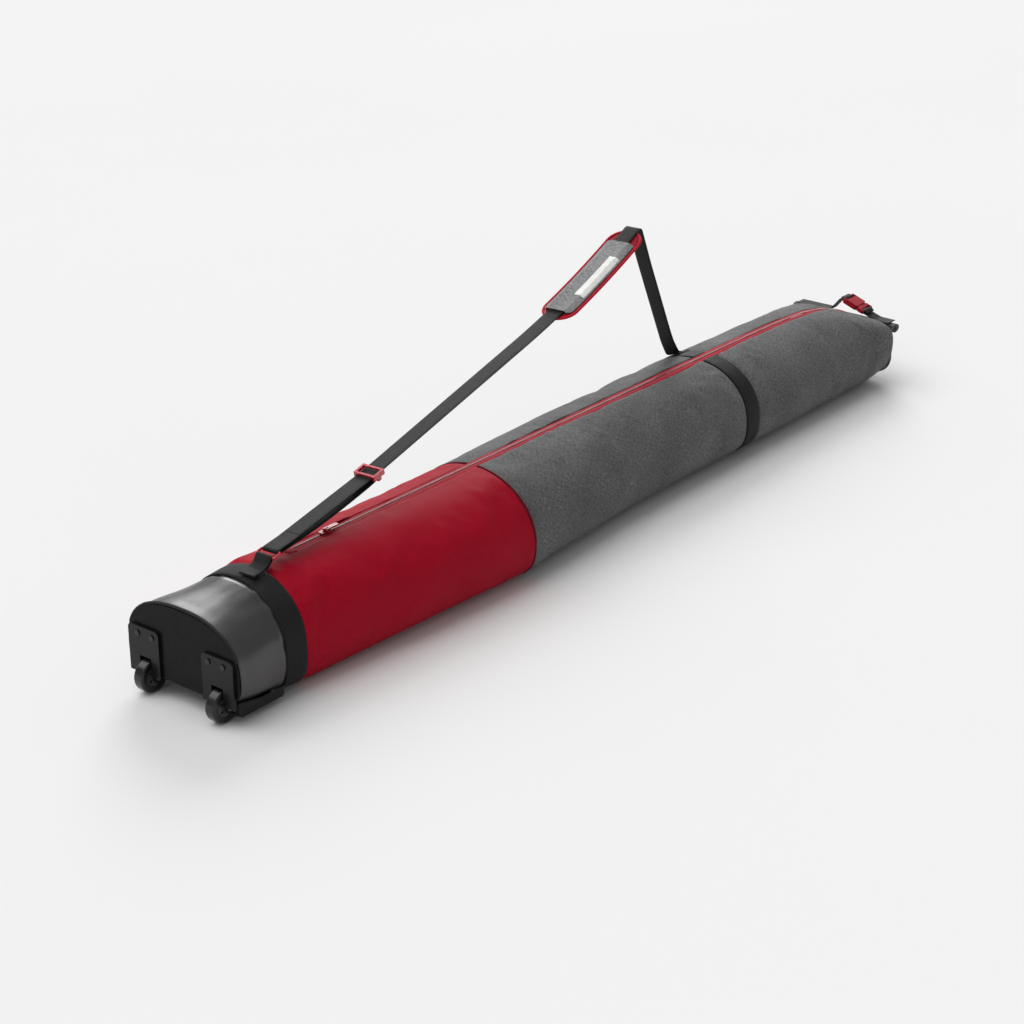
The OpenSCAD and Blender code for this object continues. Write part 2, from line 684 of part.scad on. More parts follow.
// The face is joined to the back along both edges, so the strap runs through between them
module pad_face() color("#76767a") strap_frame() difference() {
    pad_layer(4.6, -1.6, pad_w - 2, 13, pad_l - 36);
    across(strap_w + 3) polygon(concat(
        curve_points(pad_a0, pad_a1, -1.65),
        [for (i = [14:-1:0]) curve_points(pad_a0, pad_a1, 1.7)[i]]
    ));
}

// A closed cord round the pad's edge
pipe_sides = 10;
module pad_piping() color("#c4203a") strap_frame() {
    out = piping_d / 2 + 0.4;
    half = pad_w / 2 + out;
    reach = pad_round + out;
    end = [for (a = [-90:15:90]) [a, reach * cos(a), half * sin(a)]];
    sides = steps(pad_round, pad_l - pad_round, 5);
    path = concat(
        [for (e = end) [pad_l - pad_round + e[1], e[2], e[0]]],
        [for (i = [4:-1:1]) [sides[i], half, 90]],
        [for (e = end) [pad_round - e[1], -e[2], 180 + e[0]]],
        [for (i = [1:4]) [sides[i], -half, 270]]
    );
    n = len(path);
    points = [
        for (p = path) for (k = [0:pipe_sides - 1])
            let (a = 360 * k / pipe_sides,
                 r = piping_d / 2 * cos(a),
                 q = curve_point(pad_a0 + (p[0] + r * cos(p[2])) * degrees_per_mm,
                                 -4.8 + piping_d / 2 * sin(a)))
            [q[0], p[1] + r * sin(p[2]), q[1]]
    ];
    faces = [
        for (i = [0:n - 1]) for (k = [0:pipe_sides - 1])
            let (p = i * pipe_sides + k,
                 q = i * pipe_sides + (k + 1) % pipe_sides,
                 r = ((i + 1) % n) * pipe_sides + k,
                 s = ((i + 1) % n) * pipe_sides + (k + 1) % pipe_sides)
            each [[p, q, s], [p, s, r]]
    ];
    polyhedron(points, faces, convexity = 8);
}

module pad_patch() color("#e6e6e4") strap_frame()
    translate([0, -pad_w / 2 + 12.5, 0]) across(20)
        polygon(concat(curve_points(pad_a0 + 1.8, pad_a0 + 5.25, 4.85),
                       [for (i = [14:-1:0]) curve_points(pad_a0 + 1.8, pad_a0 + 5.25, 5.4)[i]]));

end_panel();
end_piping();
backing_plate();
wheel_bracket_left();
wheel_bracket_right();
wheel_tread_left();
wheel_tread_right();
wheel_hub_left();
wheel_hub_right();
axles();
bracket_rivets();
rivet_washers();
skid_tray();
boot_sleeve();
sleeve_base();
front_band();
rear_band();
red_panel_near();
red_panel_far();
grey_panel_near();
grey_panel_far();
panel_welt();
padded_lining();
zip_tape_near();
zip_tape_far();
zip_coil();
zip_end_tabs();
zip_slider();
zip_puller();
mouth_gusset();
mouth_roll();
closure_strap_far();
closure_strap_near();
buckle_socket();
buckle_prong();
front_anchor_tab();
strap_ring();
shoulder_strap();
strap_front_end();
strap_return();
strap_slide();
strap_rear_end();
rear_anchor_tab();
pad_back();
pad_face();
pad_piping();
pad_patch();
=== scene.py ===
"""The looks of the wheeled ski bag: fabric, webbing, zip, strap and wheel end."""
import json
import math

import bmesh
import bpy
import numpy as np
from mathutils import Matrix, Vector
from mathutils.bvhtree import BVHTree


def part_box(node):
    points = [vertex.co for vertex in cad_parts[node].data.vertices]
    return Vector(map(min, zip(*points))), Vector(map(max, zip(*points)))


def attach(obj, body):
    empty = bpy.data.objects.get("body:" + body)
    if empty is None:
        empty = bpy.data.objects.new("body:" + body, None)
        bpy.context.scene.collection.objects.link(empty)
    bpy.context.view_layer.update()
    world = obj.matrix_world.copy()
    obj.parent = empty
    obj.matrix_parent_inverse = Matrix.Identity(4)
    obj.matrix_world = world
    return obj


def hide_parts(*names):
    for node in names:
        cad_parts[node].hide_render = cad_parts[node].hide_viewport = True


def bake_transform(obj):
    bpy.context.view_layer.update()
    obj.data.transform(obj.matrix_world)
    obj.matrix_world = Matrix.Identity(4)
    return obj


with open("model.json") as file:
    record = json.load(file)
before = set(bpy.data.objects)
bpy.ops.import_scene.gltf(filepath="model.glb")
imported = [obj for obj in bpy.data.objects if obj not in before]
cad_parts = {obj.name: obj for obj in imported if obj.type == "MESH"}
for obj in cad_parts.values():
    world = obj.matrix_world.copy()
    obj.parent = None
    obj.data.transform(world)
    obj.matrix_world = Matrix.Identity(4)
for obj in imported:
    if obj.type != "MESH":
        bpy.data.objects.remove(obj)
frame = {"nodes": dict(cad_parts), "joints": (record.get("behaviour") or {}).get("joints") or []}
NODES = frame["nodes"]
JOINTS = {j["name"]: j for j in frame["joints"]}
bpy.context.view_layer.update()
MM = 0.001


# ---------------------------------------------------------------- helpers

def box(node):
    """A CAD node's two corners."""
    low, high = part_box(node)
    return np.array(low), np.array(high)


def tree(*names):
    """A ray-casting tree of some CAD nodes."""
    points, polygons = [], []
    for name in names:
        mesh, base = NODES[name].data, len(points)
        points += [v.co.copy() for v in mesh.vertices]
        polygons += [[base + i for i in p.vertices] for p in mesh.polygons]
    return BVHTree.FromPolygons(points, polygons)


def radial(solid, centre, angles, reach):
    """Distance from a centre out to a solid's outside at each angle, or nan where there is none."""
    row = []
    for a in angles:
        ray = Vector((0, -math.cos(a), -math.sin(a)))
        hit = solid.ray_cast(Vector(centre) - ray * reach, ray, reach)
        row.append(reach - hit[3] if hit[0] is not None else np.nan)
    return np.array(row)


def field(u, v, cell_u, cell_v, seed):
    """Smooth noise from -1 to 1 over two coordinates."""
    table = np.random.RandomState(seed).uniform(-1, 1, (64, 64))
    a, b = np.asarray(u) / cell_u + 7.3, np.asarray(v) / cell_v + 3.1
    i, j = np.floor(a).astype(int), np.floor(b).astype(int)
    f, g = a - i, b - j
    f, g = f * f * (3 - 2 * f), g * g * (3 - 2 * g)
    low = table[i % 64, j % 64] * (1 - f) + table[(i + 1) % 64, j % 64] * f
    high = table[i % 64, (j + 1) % 64] * (1 - f) + table[(i + 1) % 64, (j + 1) % 64] * f
    return low * (1 - g) + high * g


def bump(d, width):
    """1 at d = 0, falling smoothly to nothing over width."""
    return np.exp(-(np.asarray(d) / width) ** 2)


def ramp(x, a, b):
    """A smooth step from 0 at a to 1 at b."""
    t = np.clip((np.asarray(x) - a) / (b - a), 0, 1)
    return t * t * (3 - 2 * t)


def lengths(points, axis):
    """Distance run along one axis of a grid of points."""
    steps = np.linalg.norm(np.diff(points, axis=axis), axis=2)
    pad = [(0, 0), (0, 0)]
    pad[axis] = (1, 0)
    return np.cumsum(np.pad(steps, pad), axis=axis)


def mesh_object(name, points, faces, uv=None, mat=None, smooth=True):
    mesh = bpy.data.meshes.new(name)
    mesh.from_pydata([tuple(map(float, p)) for p in points], [], faces)
    if uv is not None:
        layer = mesh.uv_layers.new(name="UVMap")
        index = np.zeros(len(mesh.loops), np.int32)
        mesh.loops.foreach_get("vertex_index", index)
        layer.data.foreach_set("uv", np.asarray(uv, np.float32)[index].ravel())
    mesh.update()
    obj = bpy.data.objects.new(name, mesh)
    bpy.context.scene.collection.objects.link(obj)
    if mat:
        mesh.materials.append(mat)
    mesh.polygons.foreach_set("use_smooth", [smooth] * len(mesh.polygons))
    return obj


def grid_object(name, points, mat, uv=None, wrap=False, caps=False):
    """A mesh from rows of points; wrap closes each row, caps closes the ends."""
    points = np.asarray(points, float)
    n, m = points.shape[:2]
    if uv is None:
        uv = np.stack([lengths(points, 0), lengths(points, 1)], 2)
    last = m if wrap else m - 1
    faces = [
        (i * m + j, i * m + (j + 1) % m, (i + 1) * m + (j + 1) % m, (i + 1) * m + j)
        for i in range(n - 1) for j in range(last)
    ]
    if caps:
        faces += [tuple(range(m))[::-1], tuple((n - 1) * m + j for j in range(m))]
    return mesh_object(name, points.reshape(-1, 3), faces, uv.reshape(-1, 2), mat)


def thicken(obj, depth):
    """Gives a sheet its thickness, inwards."""
    mod = obj.modifiers.new("thickness", "SOLIDIFY")
    mod.thickness, mod.offset = depth, -1
    mod.use_even_offset = False
    return obj


SHARP = 0.6  # radians between two faces, above which their edge stays hard


def polished(node, mat, width):
    """A rigid CAD part with rounded edges, smooth shading and its material."""
    obj = NODES[node]
    if width:
        mod = obj.modifiers.new("edges", "BEVEL")
        mod.width, mod.segments, mod.limit_method = width, 2, "ANGLE"
        mod.angle_limit = math.radians(35)
        mod.harden_normals = False
        mod.use_clamp_overlap = True
    obj.data.materials.clear()
    obj.data.materials.append(mat)
    bm = bmesh.new()
    bm.from_mesh(obj.data)
    for edge in bm.edges:
        edge.smooth = len(edge.link_faces) != 2 or edge.calc_face_angle(0) < SHARP
    for face in bm.faces:
        face.smooth = True
    bm.to_mesh(obj.data)
    bm.free()


def distance(line):
    """Distance run at each point of a line."""
    return np.concatenate([[0], np.cumsum(np.linalg.norm(np.diff(line, axis=0), axis=1))])


def along(points, step):
    """Resamples a line at even steps."""
    points = np.asarray(points, float)
    run = distance(points)
    at = np.linspace(0, run[-1], max(2, int(round(run[-1] / step)) + 1))
    return np.stack([np.interp(at, run, points[:, k]) for k in range(points.shape[1])], 1)


def eased(points, step=3 * MM, soft=5 * MM):
    """Resamples a line and rounds its corners, keeping its ends."""
    line = along(points, step)
    n = int(3 * soft / step) + 1
    kernel = np.exp(-0.5 * (np.arange(-n, n + 1) * step / soft) ** 2)
    kernel /= kernel.sum()
    out = []
    for k in range(line.shape[1]):
        c = line[:, k]
        left, right = 2 * c[0] - c[n:0:-1], 2 * c[-1] - c[-2:-n - 2:-1]
        if len(left) < n or len(right) < n:
            return line
        out.append(np.convolve(np.concatenate([left, c, right]), kernel, "valid"))
    return np.stack(out, 1)


def coordinates(mesh):
    values = np.empty(len(mesh.vertices) * 3, np.float32)
    mesh.vertices.foreach_get("co", values)
    return values.reshape(-1, 3).astype(float)


CLOTH_FRAMES = 20
INWARD = 0.2 * MM  # how far the simulated cloth may sink below its starting shape


def settled(obj, held, pressure, grow, cap):
    """Cloth simulation: the fabric swells and wrinkles between its held points, up to cap."""
    scene = bpy.context.scene
    group = obj.vertex_groups.new(name="held")
    group.add([int(i) for i in np.flatnonzero(held)], 1.0, "REPLACE")
    mod = obj.modifiers.new("cloth", "CLOTH")
    fabric = mod.settings
    fabric.quality, fabric.mass = 6, 0.25
    fabric.tension_stiffness = fabric.compression_stiffness = 12
    fabric.shear_stiffness, fabric.bending_stiffness = 6, 0.15
    fabric.vertex_group_mass = "held"
    fabric.shrink_min = fabric.shrink_max = -grow
    fabric.use_pressure, fabric.uniform_pressure_force = True, pressure
    fabric.effector_weights.gravity = 0
    mod.point_cache.frame_start, mod.point_cache.frame_end = 1, CLOTH_FRAMES
    before = coordinates(obj.data)
    for number in range(1, CLOTH_FRAMES + 1):
        scene.frame_set(number)
    shape = obj.evaluated_get(bpy.context.evaluated_depsgraph_get()).to_mesh()
    move = coordinates(shape) - before
    obj.modifiers.remove(mod)
    obj.vertex_groups.remove(group)
    scene.frame_set(1)
    far = np.linalg.norm(move, axis=1)[:, None] + 1e-9
    move = move / far * cap * np.tanh(far / cap)
    normals = np.empty(before.size, np.float32)
    obj.data.vertex_normals.foreach_get("vector", normals)
    normals = normals.reshape(-1, 3)
    inward = np.minimum((move * normals).sum(1) + INWARD, 0)
    after = before + move - normals * inward[:, None]
    obj.data.vertices.foreach_set("co", after.astype(np.float32).ravel())
    obj.data.update()
    return obj


# The rounded cross-section of a webbing strip, in half widths and half thicknesses
STRIP = [(-0.95, -1), (-1, -0.4), (-1, 0.4), (-0.95, 1), (-0.5, 1), (0, 1), (0.5, 1),
         (0.95, 1), (1, 0.4), (1, -0.4), (0.95, -1), (0.5, -1), (0, -1), (-0.5, -1)]


def strip_object(name, path, side, width, thick, mat):
    """A webbing strip along a line; side is the direction across it, one or one per point."""
    path = np.asarray(path, float)
    side = np.broadcast_to(np.asarray(side, float), path.shape)
    ahead = np.gradient(path, axis=0)
    ahead /= np.linalg.norm(ahead, axis=1)[:, None]
    up = np.cross(side, ahead)
    up /= np.linalg.norm(up, axis=1)[:, None]
    run = distance(path)
    points = np.stack([path + side * a * width / 2 + up * b * thick / 2 for a, b in STRIP], 1)
    uv = np.stack([np.stack([run, np.full(len(run), a * width / 2)], 1) for a, b in STRIP], 1)
    return grid_object(name, points, mat, uv, wrap=True, caps=True)


def tube_object(name, path, radius, mat, sides=10, closed=False):
    """A round cord along a line."""
    path = np.asarray(path, float)
    if closed:
        ahead = np.roll(path, -1, 0) - np.roll(path, 1, 0)
    else:
        ahead = np.gradient(path, axis=0)
    ahead /= np.linalg.norm(ahead, axis=1)[:, None]
    ref = np.array([0, 0, 1.0])
    if abs(ahead[:, 2]).max() > 0.9:
        beside = abs(ahead[:, 1]).max() < 0.9
        ref = np.array([0, 1.0, 0.02] if beside else [1.0, 0.03, 0.02])
    a = np.cross(ahead, ref)
    a /= np.linalg.norm(a, axis=1)[:, None]
    b = np.cross(a, ahead)
    radius = np.broadcast_to(radius, (len(path),))
    turn = np.linspace(0, 2 * np.pi, sides, endpoint=False)
    points = np.stack(
        [path + (a * np.cos(t) + b * np.sin(t)) * radius[:, None] for t in turn], 1)
    if closed:
        points = np.concatenate([points, points[:1]])
    return grid_object(name, points, mat, wrap=True, caps=not closed)


def stitches(name, line, lift, mat, length=2.6 * MM, gap=1.2 * MM, thick=0.35 * MM):
    """A row of thread stitches along a line; lift is the way off the cloth."""
    line = along(line, 1 * MM)
    lift = np.asarray(lift, float)
    lift = lift / np.linalg.norm(lift)
    span, hop = int(round(length / MM)), int(round((length + gap) / MM))
    points, faces = [], []
    for k in range(0, len(line) - span, hop):
        a, b = line[k], line[k + span]
        ahead = (b - a) / max(1e-9, np.linalg.norm(b - a))
        across = np.cross(ahead, lift)
        mid, base = (a + b) / 2, len(points)
        points += [a, b, mid + across * thick, mid - across * thick,
                   mid + lift * thick * 0.9, mid - lift * thick * 0.6]
        faces += [tuple(base + i for i in f) for f in
                  ((0, 2, 4), (2, 1, 4), (1, 3, 4), (3, 0, 4),
                   (2, 0, 5), (1, 2, 5), (3, 1, 5), (0, 3, 5))]
    return mesh_object(name, points, faces, None, mat)


def ride(obj, body, slot, *replaced):
    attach(obj, body)
    if replaced:
        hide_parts(*replaced)


def sheet(obj, depth, *rest):
    """Cloth with its thickness; rest is what ride needs."""
    ride(thicken(obj, depth), *rest)


# ---------------------------------------------------------------- materials

class Shade:
    """Writes a material's nodes around its Principled shader."""

    def __init__(self, name):
        self.mat = bpy.data.materials.new(name)
        self.mat.use_nodes = True
        self.tree = self.mat.node_tree
        self.bsdf = self.tree.nodes["Principled BSDF"]

    def feed(self, into, value):
        """Sets an input, or links it where the value is another node's output."""
        if isinstance(value, bpy.types.NodeSocket):
            self.tree.links.new(value, into)
        else:
            into.default_value = value

    def node(self, kind, **values):
        """A node; values with a capital are its inputs and the others its settings."""
        n = self.tree.nodes.new("ShaderNode" + kind)
        for key, value in values.items():
            if key[0].isupper():
                self.feed(n.inputs[key.replace("_", " ")], value)
            else:
                setattr(n, key, value)
        return n

    def set(self, **values):
        for key, value in values.items():
            self.feed(self.bsdf.inputs[key.replace("_", " ")], value)

    def math(self, op, *values):
        n = self.node("Math", operation=op)
        for into, value in zip(n.inputs, values):
            self.feed(into, value)
        return n.outputs[0]

    def uv(self):
        return self.node("UVMap", uv_map="UVMap").outputs[0]

    def place(self):
        return self.node("TexCoord").outputs["Object"]

    def noise(self, vector, scale, detail=3.0, rough=0.55):
        """Noise of one scale, or of three where it is stretched."""
        if isinstance(scale, tuple):
            vector, scale = self.node("Mapping", Scale=scale, Vector=vector).outputs[0], 1.0
        n = self.node("TexNoise", Vector=vector, Scale=scale, Detail=detail, Roughness=rough)
        return n.outputs[0]

    def weighted(self, *parts):
        """The sum of some values, each times its weight."""
        total = 0.0
        for value, weight in parts:
            total = self.math("MULTIPLY_ADD", value, weight, total)
        return total

    def colours(self, factor, *stops):
        n = self.node("ValToRGB", Fac=factor)
        elements = n.color_ramp.elements
        while len(elements) < len(stops):
            elements.new(0.5)
        for e, (at, colour) in zip(elements, stops):
            e.position, e.color = at, (*colour, 1)
        return n.outputs[0]

    def paint(self, colour):
        self.set(Base_Color=colour)

    def rough(self, factor, low, high):
        self.set(Roughness=self.node("MapRange", To_Min=low, To_Max=high, Value=factor).outputs[0])

    def relief(self, *layers):
        """Bump layers of (height, distance in metres, strength)."""
        below = {}
        for height, distance_, strength in layers:
            n = self.node("Bump", Distance=distance_, Strength=strength, Height=height, **below)
            below = {"Normal": n.outputs[0]}
        self.set(**below)

    def weave(self, vector, warp, weft):
        """Height of a plain weave with the given thread spacings, in metres."""
        split = self.node("SeparateXYZ", Vector=vector)
        a = self.math("SINE", self.math("MULTIPLY", split.outputs[0], 2 * math.pi / warp))
        b = self.math("SINE", self.math("MULTIPLY", split.outputs[1], 2 * math.pi / weft))
        return self.math("MULTIPLY_ADD", self.math("MULTIPLY", a, b), 0.5, 0.5)


def cloth(name, dark, light, thread=0.9 * MM, rough=(0.62, 0.82), sheen=0.25, fleck=None,
          spec=0.14):
    """Woven polyester: weave, thread-to-thread colour, soft wear and fine fuzz; the weave's height also
    tints the colour a little, painted shade in its low places and painted highlight on its high ones.
    """
    s = Shade(name)
    uv = s.uv()
    weave = s.weave(uv, thread, thread)
    across = s.noise(uv, (160, 1100, 1), 2)
    down = s.noise(uv, (1100, 160, 1), 2)
    threads = s.weighted((across, 0.5), (down, 0.5))
    wide = s.noise(uv, (9, 9, 1), 4, 0.6)
    # A tenth of the tone is the weave's height: painted shade where it is low and painted highlight where
    # it is high. The rest is random tone.
    tone = s.weighted((weave, 0.10), (s.weighted((wide, 0.16), (threads, 0.84)), 0.92))
    if fleck:
        s.paint(s.colours(tone, (0.36, dark), (0.50, light), (0.62, fleck)))
    else:
        s.paint(s.colours(tone, (0.3, dark), (0.7, light)))
    s.rough(threads, *rough)
    s.relief((wide, 0.4 * MM, 0.2), (threads, 0.12 * MM, 0.5), (weave, 0.16 * MM, 0.55))
    s.set(Sheen_Weight=sheen, Sheen_Roughness=0.45, Specular_IOR_Level=spec)
    return s.mat


def webbing(name, dark, light, pitch=2.2 * MM):
    """Woven strap: rows of ribs with alternate columns; the high threads are painted lighter, a painted
    highlight, and the grooves darker, painted shade.
    """
    s = Shade(name)
    uv = s.uv()
    split = s.node("SeparateXYZ", Vector=uv)
    u, v = split.outputs[0], split.outputs[1]
    column = s.math("FLOOR", s.math("DIVIDE", v, pitch * 1.15))
    phase = s.math("MULTIPLY", s.math("MODULO", s.math("ABSOLUTE", column), 2.0), math.pi)
    rib = s.math("SINE", s.math("MULTIPLY_ADD", u, 2 * math.pi / pitch, phase))
    ridge = s.math("ABSOLUTE", s.math("SINE", s.math("MULTIPLY", v, math.pi / (pitch * 1.15))))
    height = s.weighted((s.math("MULTIPLY_ADD", rib, 0.5, 0.5), 0.6), (ridge, 0.4))
    fuzz = s.noise(uv, (900, 900, 1), 3)
    wide = s.noise(uv, (25, 60, 1), 3)
    # The ribs' height goes into the colour: painted highlight on the high threads and painted shade in
    # the grooves. The fuzz and wide noise add random tone.
    tone = s.weighted((height, 0.6), (fuzz, 0.25), (wide, 0.2))
    s.paint(s.colours(tone, (0.25, dark), (0.85, light)))
    s.rough(fuzz, 0.5, 0.72)
    s.relief((wide, 0.3 * MM, 0.3), (height, 0.35 * MM, 0.8), (fuzz, 0.06 * MM, 0.4))
    s.set(Sheen_Weight=0.03, Specular_IOR_Level=0.18)
    return s.mat


GRAIN = 0.35 * MM  # of moulded plastic


def moulded(name, colour, rough=(0.35, 0.5), depth=0.05 * MM, coat=0.0, spec=0.5):
    """Moulded plastic or painted metal with a fine grain, scuffs and uneven gloss."""
    s = Shade(name)
    at = s.place()
    fine = s.noise(at, 0.6 / GRAIN, 2)
    wide = s.noise(at, 40, 5, 0.65)
    streak = s.noise(at, (300, 60, 900), 4, 0.7)
    tone = s.weighted((wide, 0.6), (streak, 0.4))
    dark = tuple(c * 0.8 for c in colour)
    light = tuple(min(1, c * 1.25 + 0.004) for c in colour)
    s.paint(s.colours(tone, (0.35, dark), (0.65, light)))
    s.rough(tone, *rough)
    s.relief((streak, 0.03 * MM, 0.25), (fine, depth, 0.4))
    s.set(Coat_Weight=coat, Coat_Roughness=0.12, Specular_IOR_Level=spec)
    return s.mat


def metal(name, colour, rough=(0.25, 0.45)):
    s = Shade(name)
    at = s.place()
    turned = s.noise(at, (1500, 120, 1500), 2)
    wide = s.noise(at, 90, 4)
    tone = s.weighted((turned, 0.5), (wide, 0.5))
    s.paint(s.colours(tone, (0.35, tuple(c * 0.75 for c in colour)), (0.65, colour)))
    s.rough(tone, *rough)
    s.relief((turned, 0.02 * MM, 0.4))
    s.set(Metallic=1.0)
    return s.mat


def tarpaulin():
    """Coated cloth: a faint weave under a smooth, soft-creased coat."""
    s = Shade("coated_fabric")
    uv = s.uv()
    weave = s.weave(uv, 1.6 * MM, 1.6 * MM)
    wide = s.noise(uv, (14, 14, 1), 3, 0.5)
    fine = s.noise(uv, (240, 240, 1), 3)
    s.paint(s.colours(wide, (0.3, (0.030, 0.0285, 0.028)), (0.7, (0.042, 0.040, 0.039))))
    s.rough(wide, 0.27, 0.37)
    s.relief((wide, 0.8 * MM, 0.2), (weave, 0.12 * MM, 0.35), (fine, 0.1 * MM, 0.3))
    s.set(Coat_Weight=0.3, Coat_Roughness=0.32, Specular_IOR_Level=0.45)
    return s.mat


def rubber():
    s = Shade("tread_rubber")
    at = s.place()
    fine, wide = s.noise(at, 900, 3), s.noise(at, 60, 4)
    s.paint(s.colours(wide, (0.35, (0.005, 0.005, 0.0055)), (0.7, (0.014, 0.0135, 0.013))))
    s.rough(wide, 0.14, 0.3)
    s.relief((wide, 0.1 * MM, 0.3), (fine, 0.05 * MM, 0.5))
    return s.mat


M = {
    "red": cloth("red_fabric", (0.24, 0.0014, 0.010), (0.48, 0.005, 0.024), rough=(0.5, 0.66),
                 sheen=0.01, spec=0.07),
    "grey": cloth("grey_fabric", (0.032, 0.032, 0.033), (0.090, 0.090, 0.093),
                  fleck=(0.24, 0.24, 0.245), sheen=0.1),
    "heather": cloth("heather_fabric", (0.06, 0.06, 0.063), (0.19, 0.19, 0.195),
                     fleck=(0.50, 0.50, 0.505), thread=1.4 * MM, sheen=0.1),
    "tape": cloth("red_tape", (0.30, 0.003, 0.014), (0.5, 0.009, 0.028), thread=0.6 * MM, sheen=0.1),
    "welt": cloth("dark_red_fabric", (0.075, 0.002, 0.008), (0.15, 0.005, 0.014), thread=0.6 * MM),
    "mesh": cloth("red_mesh", (0.22, 0.003, 0.012), (0.38, 0.008, 0.024), thread=1.6 * MM, sheen=0.1),
    "piping": cloth("red_piping", (0.36, 0.004, 0.016), (0.62, 0.012, 0.036), thread=0.7 * MM, sheen=0.1),
    "lining": cloth("lining", (0.02, 0.02, 0.021), (0.05, 0.05, 0.052)),
    "coated": tarpaulin(),
    "webbing": webbing("webbing", (0.003, 0.003, 0.0033), (0.018, 0.018, 0.019)),
    "trim": webbing("black_trim", (0.006, 0.006, 0.007), (0.03, 0.03, 0.031), 1.2 * MM),
    "gloss": moulded("end_plastic", (0.004, 0.004, 0.0043), (0.26, 0.4), depth=0.01 * MM, coat=0.02,
                     spec=0.08),
    "bracket": moulded("bracket_plastic", (0.006, 0.006, 0.0065), (0.24, 0.4), spec=0.22),
    "hub": moulded("hub_plastic", (0.05, 0.05, 0.053), (0.3, 0.45)),
    "tread": rubber(),
    "steel": metal("axle_steel", (0.5, 0.51, 0.52)),
    "rivet": metal("rivet_steel", (0.06, 0.06, 0.065), (0.2, 0.34)),
    "sheet": metal("dark_steel", (0.3, 0.3, 0.31), (0.35, 0.5)),
    "zip": moulded("zip_plastic", (0.20, 0.005, 0.014), (0.3, 0.45), depth=0.02 * MM),
    "redmetal": moulded("red_metal", (0.36, 0.006, 0.02), (0.3, 0.45), coat=0.1, spec=0.35),
    "redplastic": moulded("red_plastic", (0.34, 0.005, 0.017), (0.4, 0.55), depth=0.02 * MM, spec=0.25),
    "redgloss": moulded("red_gloss", (0.50, 0.008, 0.028), (0.14, 0.26), depth=0.01 * MM, coat=0.8),
    "label": moulded("white_print", (0.74, 0.74, 0.72), (0.45, 0.6), depth=0.03 * MM),
    "black_thread": webbing("black_thread", (0.012, 0.012, 0.013), (0.04, 0.04, 0.042), 0.5 * MM),
    "red_thread": cloth("red_thread", (0.35, 0.006, 0.02), (0.6, 0.02, 0.05), thread=0.5 * MM),
    "grey_thread": cloth("grey_thread", (0.08, 0.08, 0.085), (0.2, 0.2, 0.21), thread=0.5 * MM),
}


# ---------------------------------------------------------------- the bag's surface

ROW = 6 * MM  # the surface's sampling step along the bag

FRONT, REAR = box("front_band"), box("rear_band")
SEAM = box("panel_welt")
COIL = box("zip_coil")
TAPES = box("zip_tape_near")[0], box("zip_tape_far")[1]
seam_x = (SEAM[0][0] + SEAM[1][0]) / 2
start_x = box("boot_sleeve")[0][0]
sleeve_x = box("boot_sleeve")[1][0]
mouth_x = box("grey_panel_near")[1][0]
zip_y = (COIL[0][1] + COIL[1][1]) / 2
zip_x0, zip_x1 = COIL[0][0], COIL[1][0]
MID_Z = 0.078


def smoothed(values, sigma, axis, wrap):
    n = int(3 * sigma) + 1
    kernel = np.exp(-0.5 * (np.arange(-n, n + 1) / sigma) ** 2)
    kernel /= kernel.sum()
    pad = [(0, 0)] * values.ndim
    pad[axis] = (n, n)
    wide = np.pad(values, pad, mode="wrap" if wrap else "reflect",
                  **({} if wrap else {"reflect_type": "odd"}))
    return np.apply_along_axis(lambda c: np.convolve(c, kernel, "valid"), axis, wide)


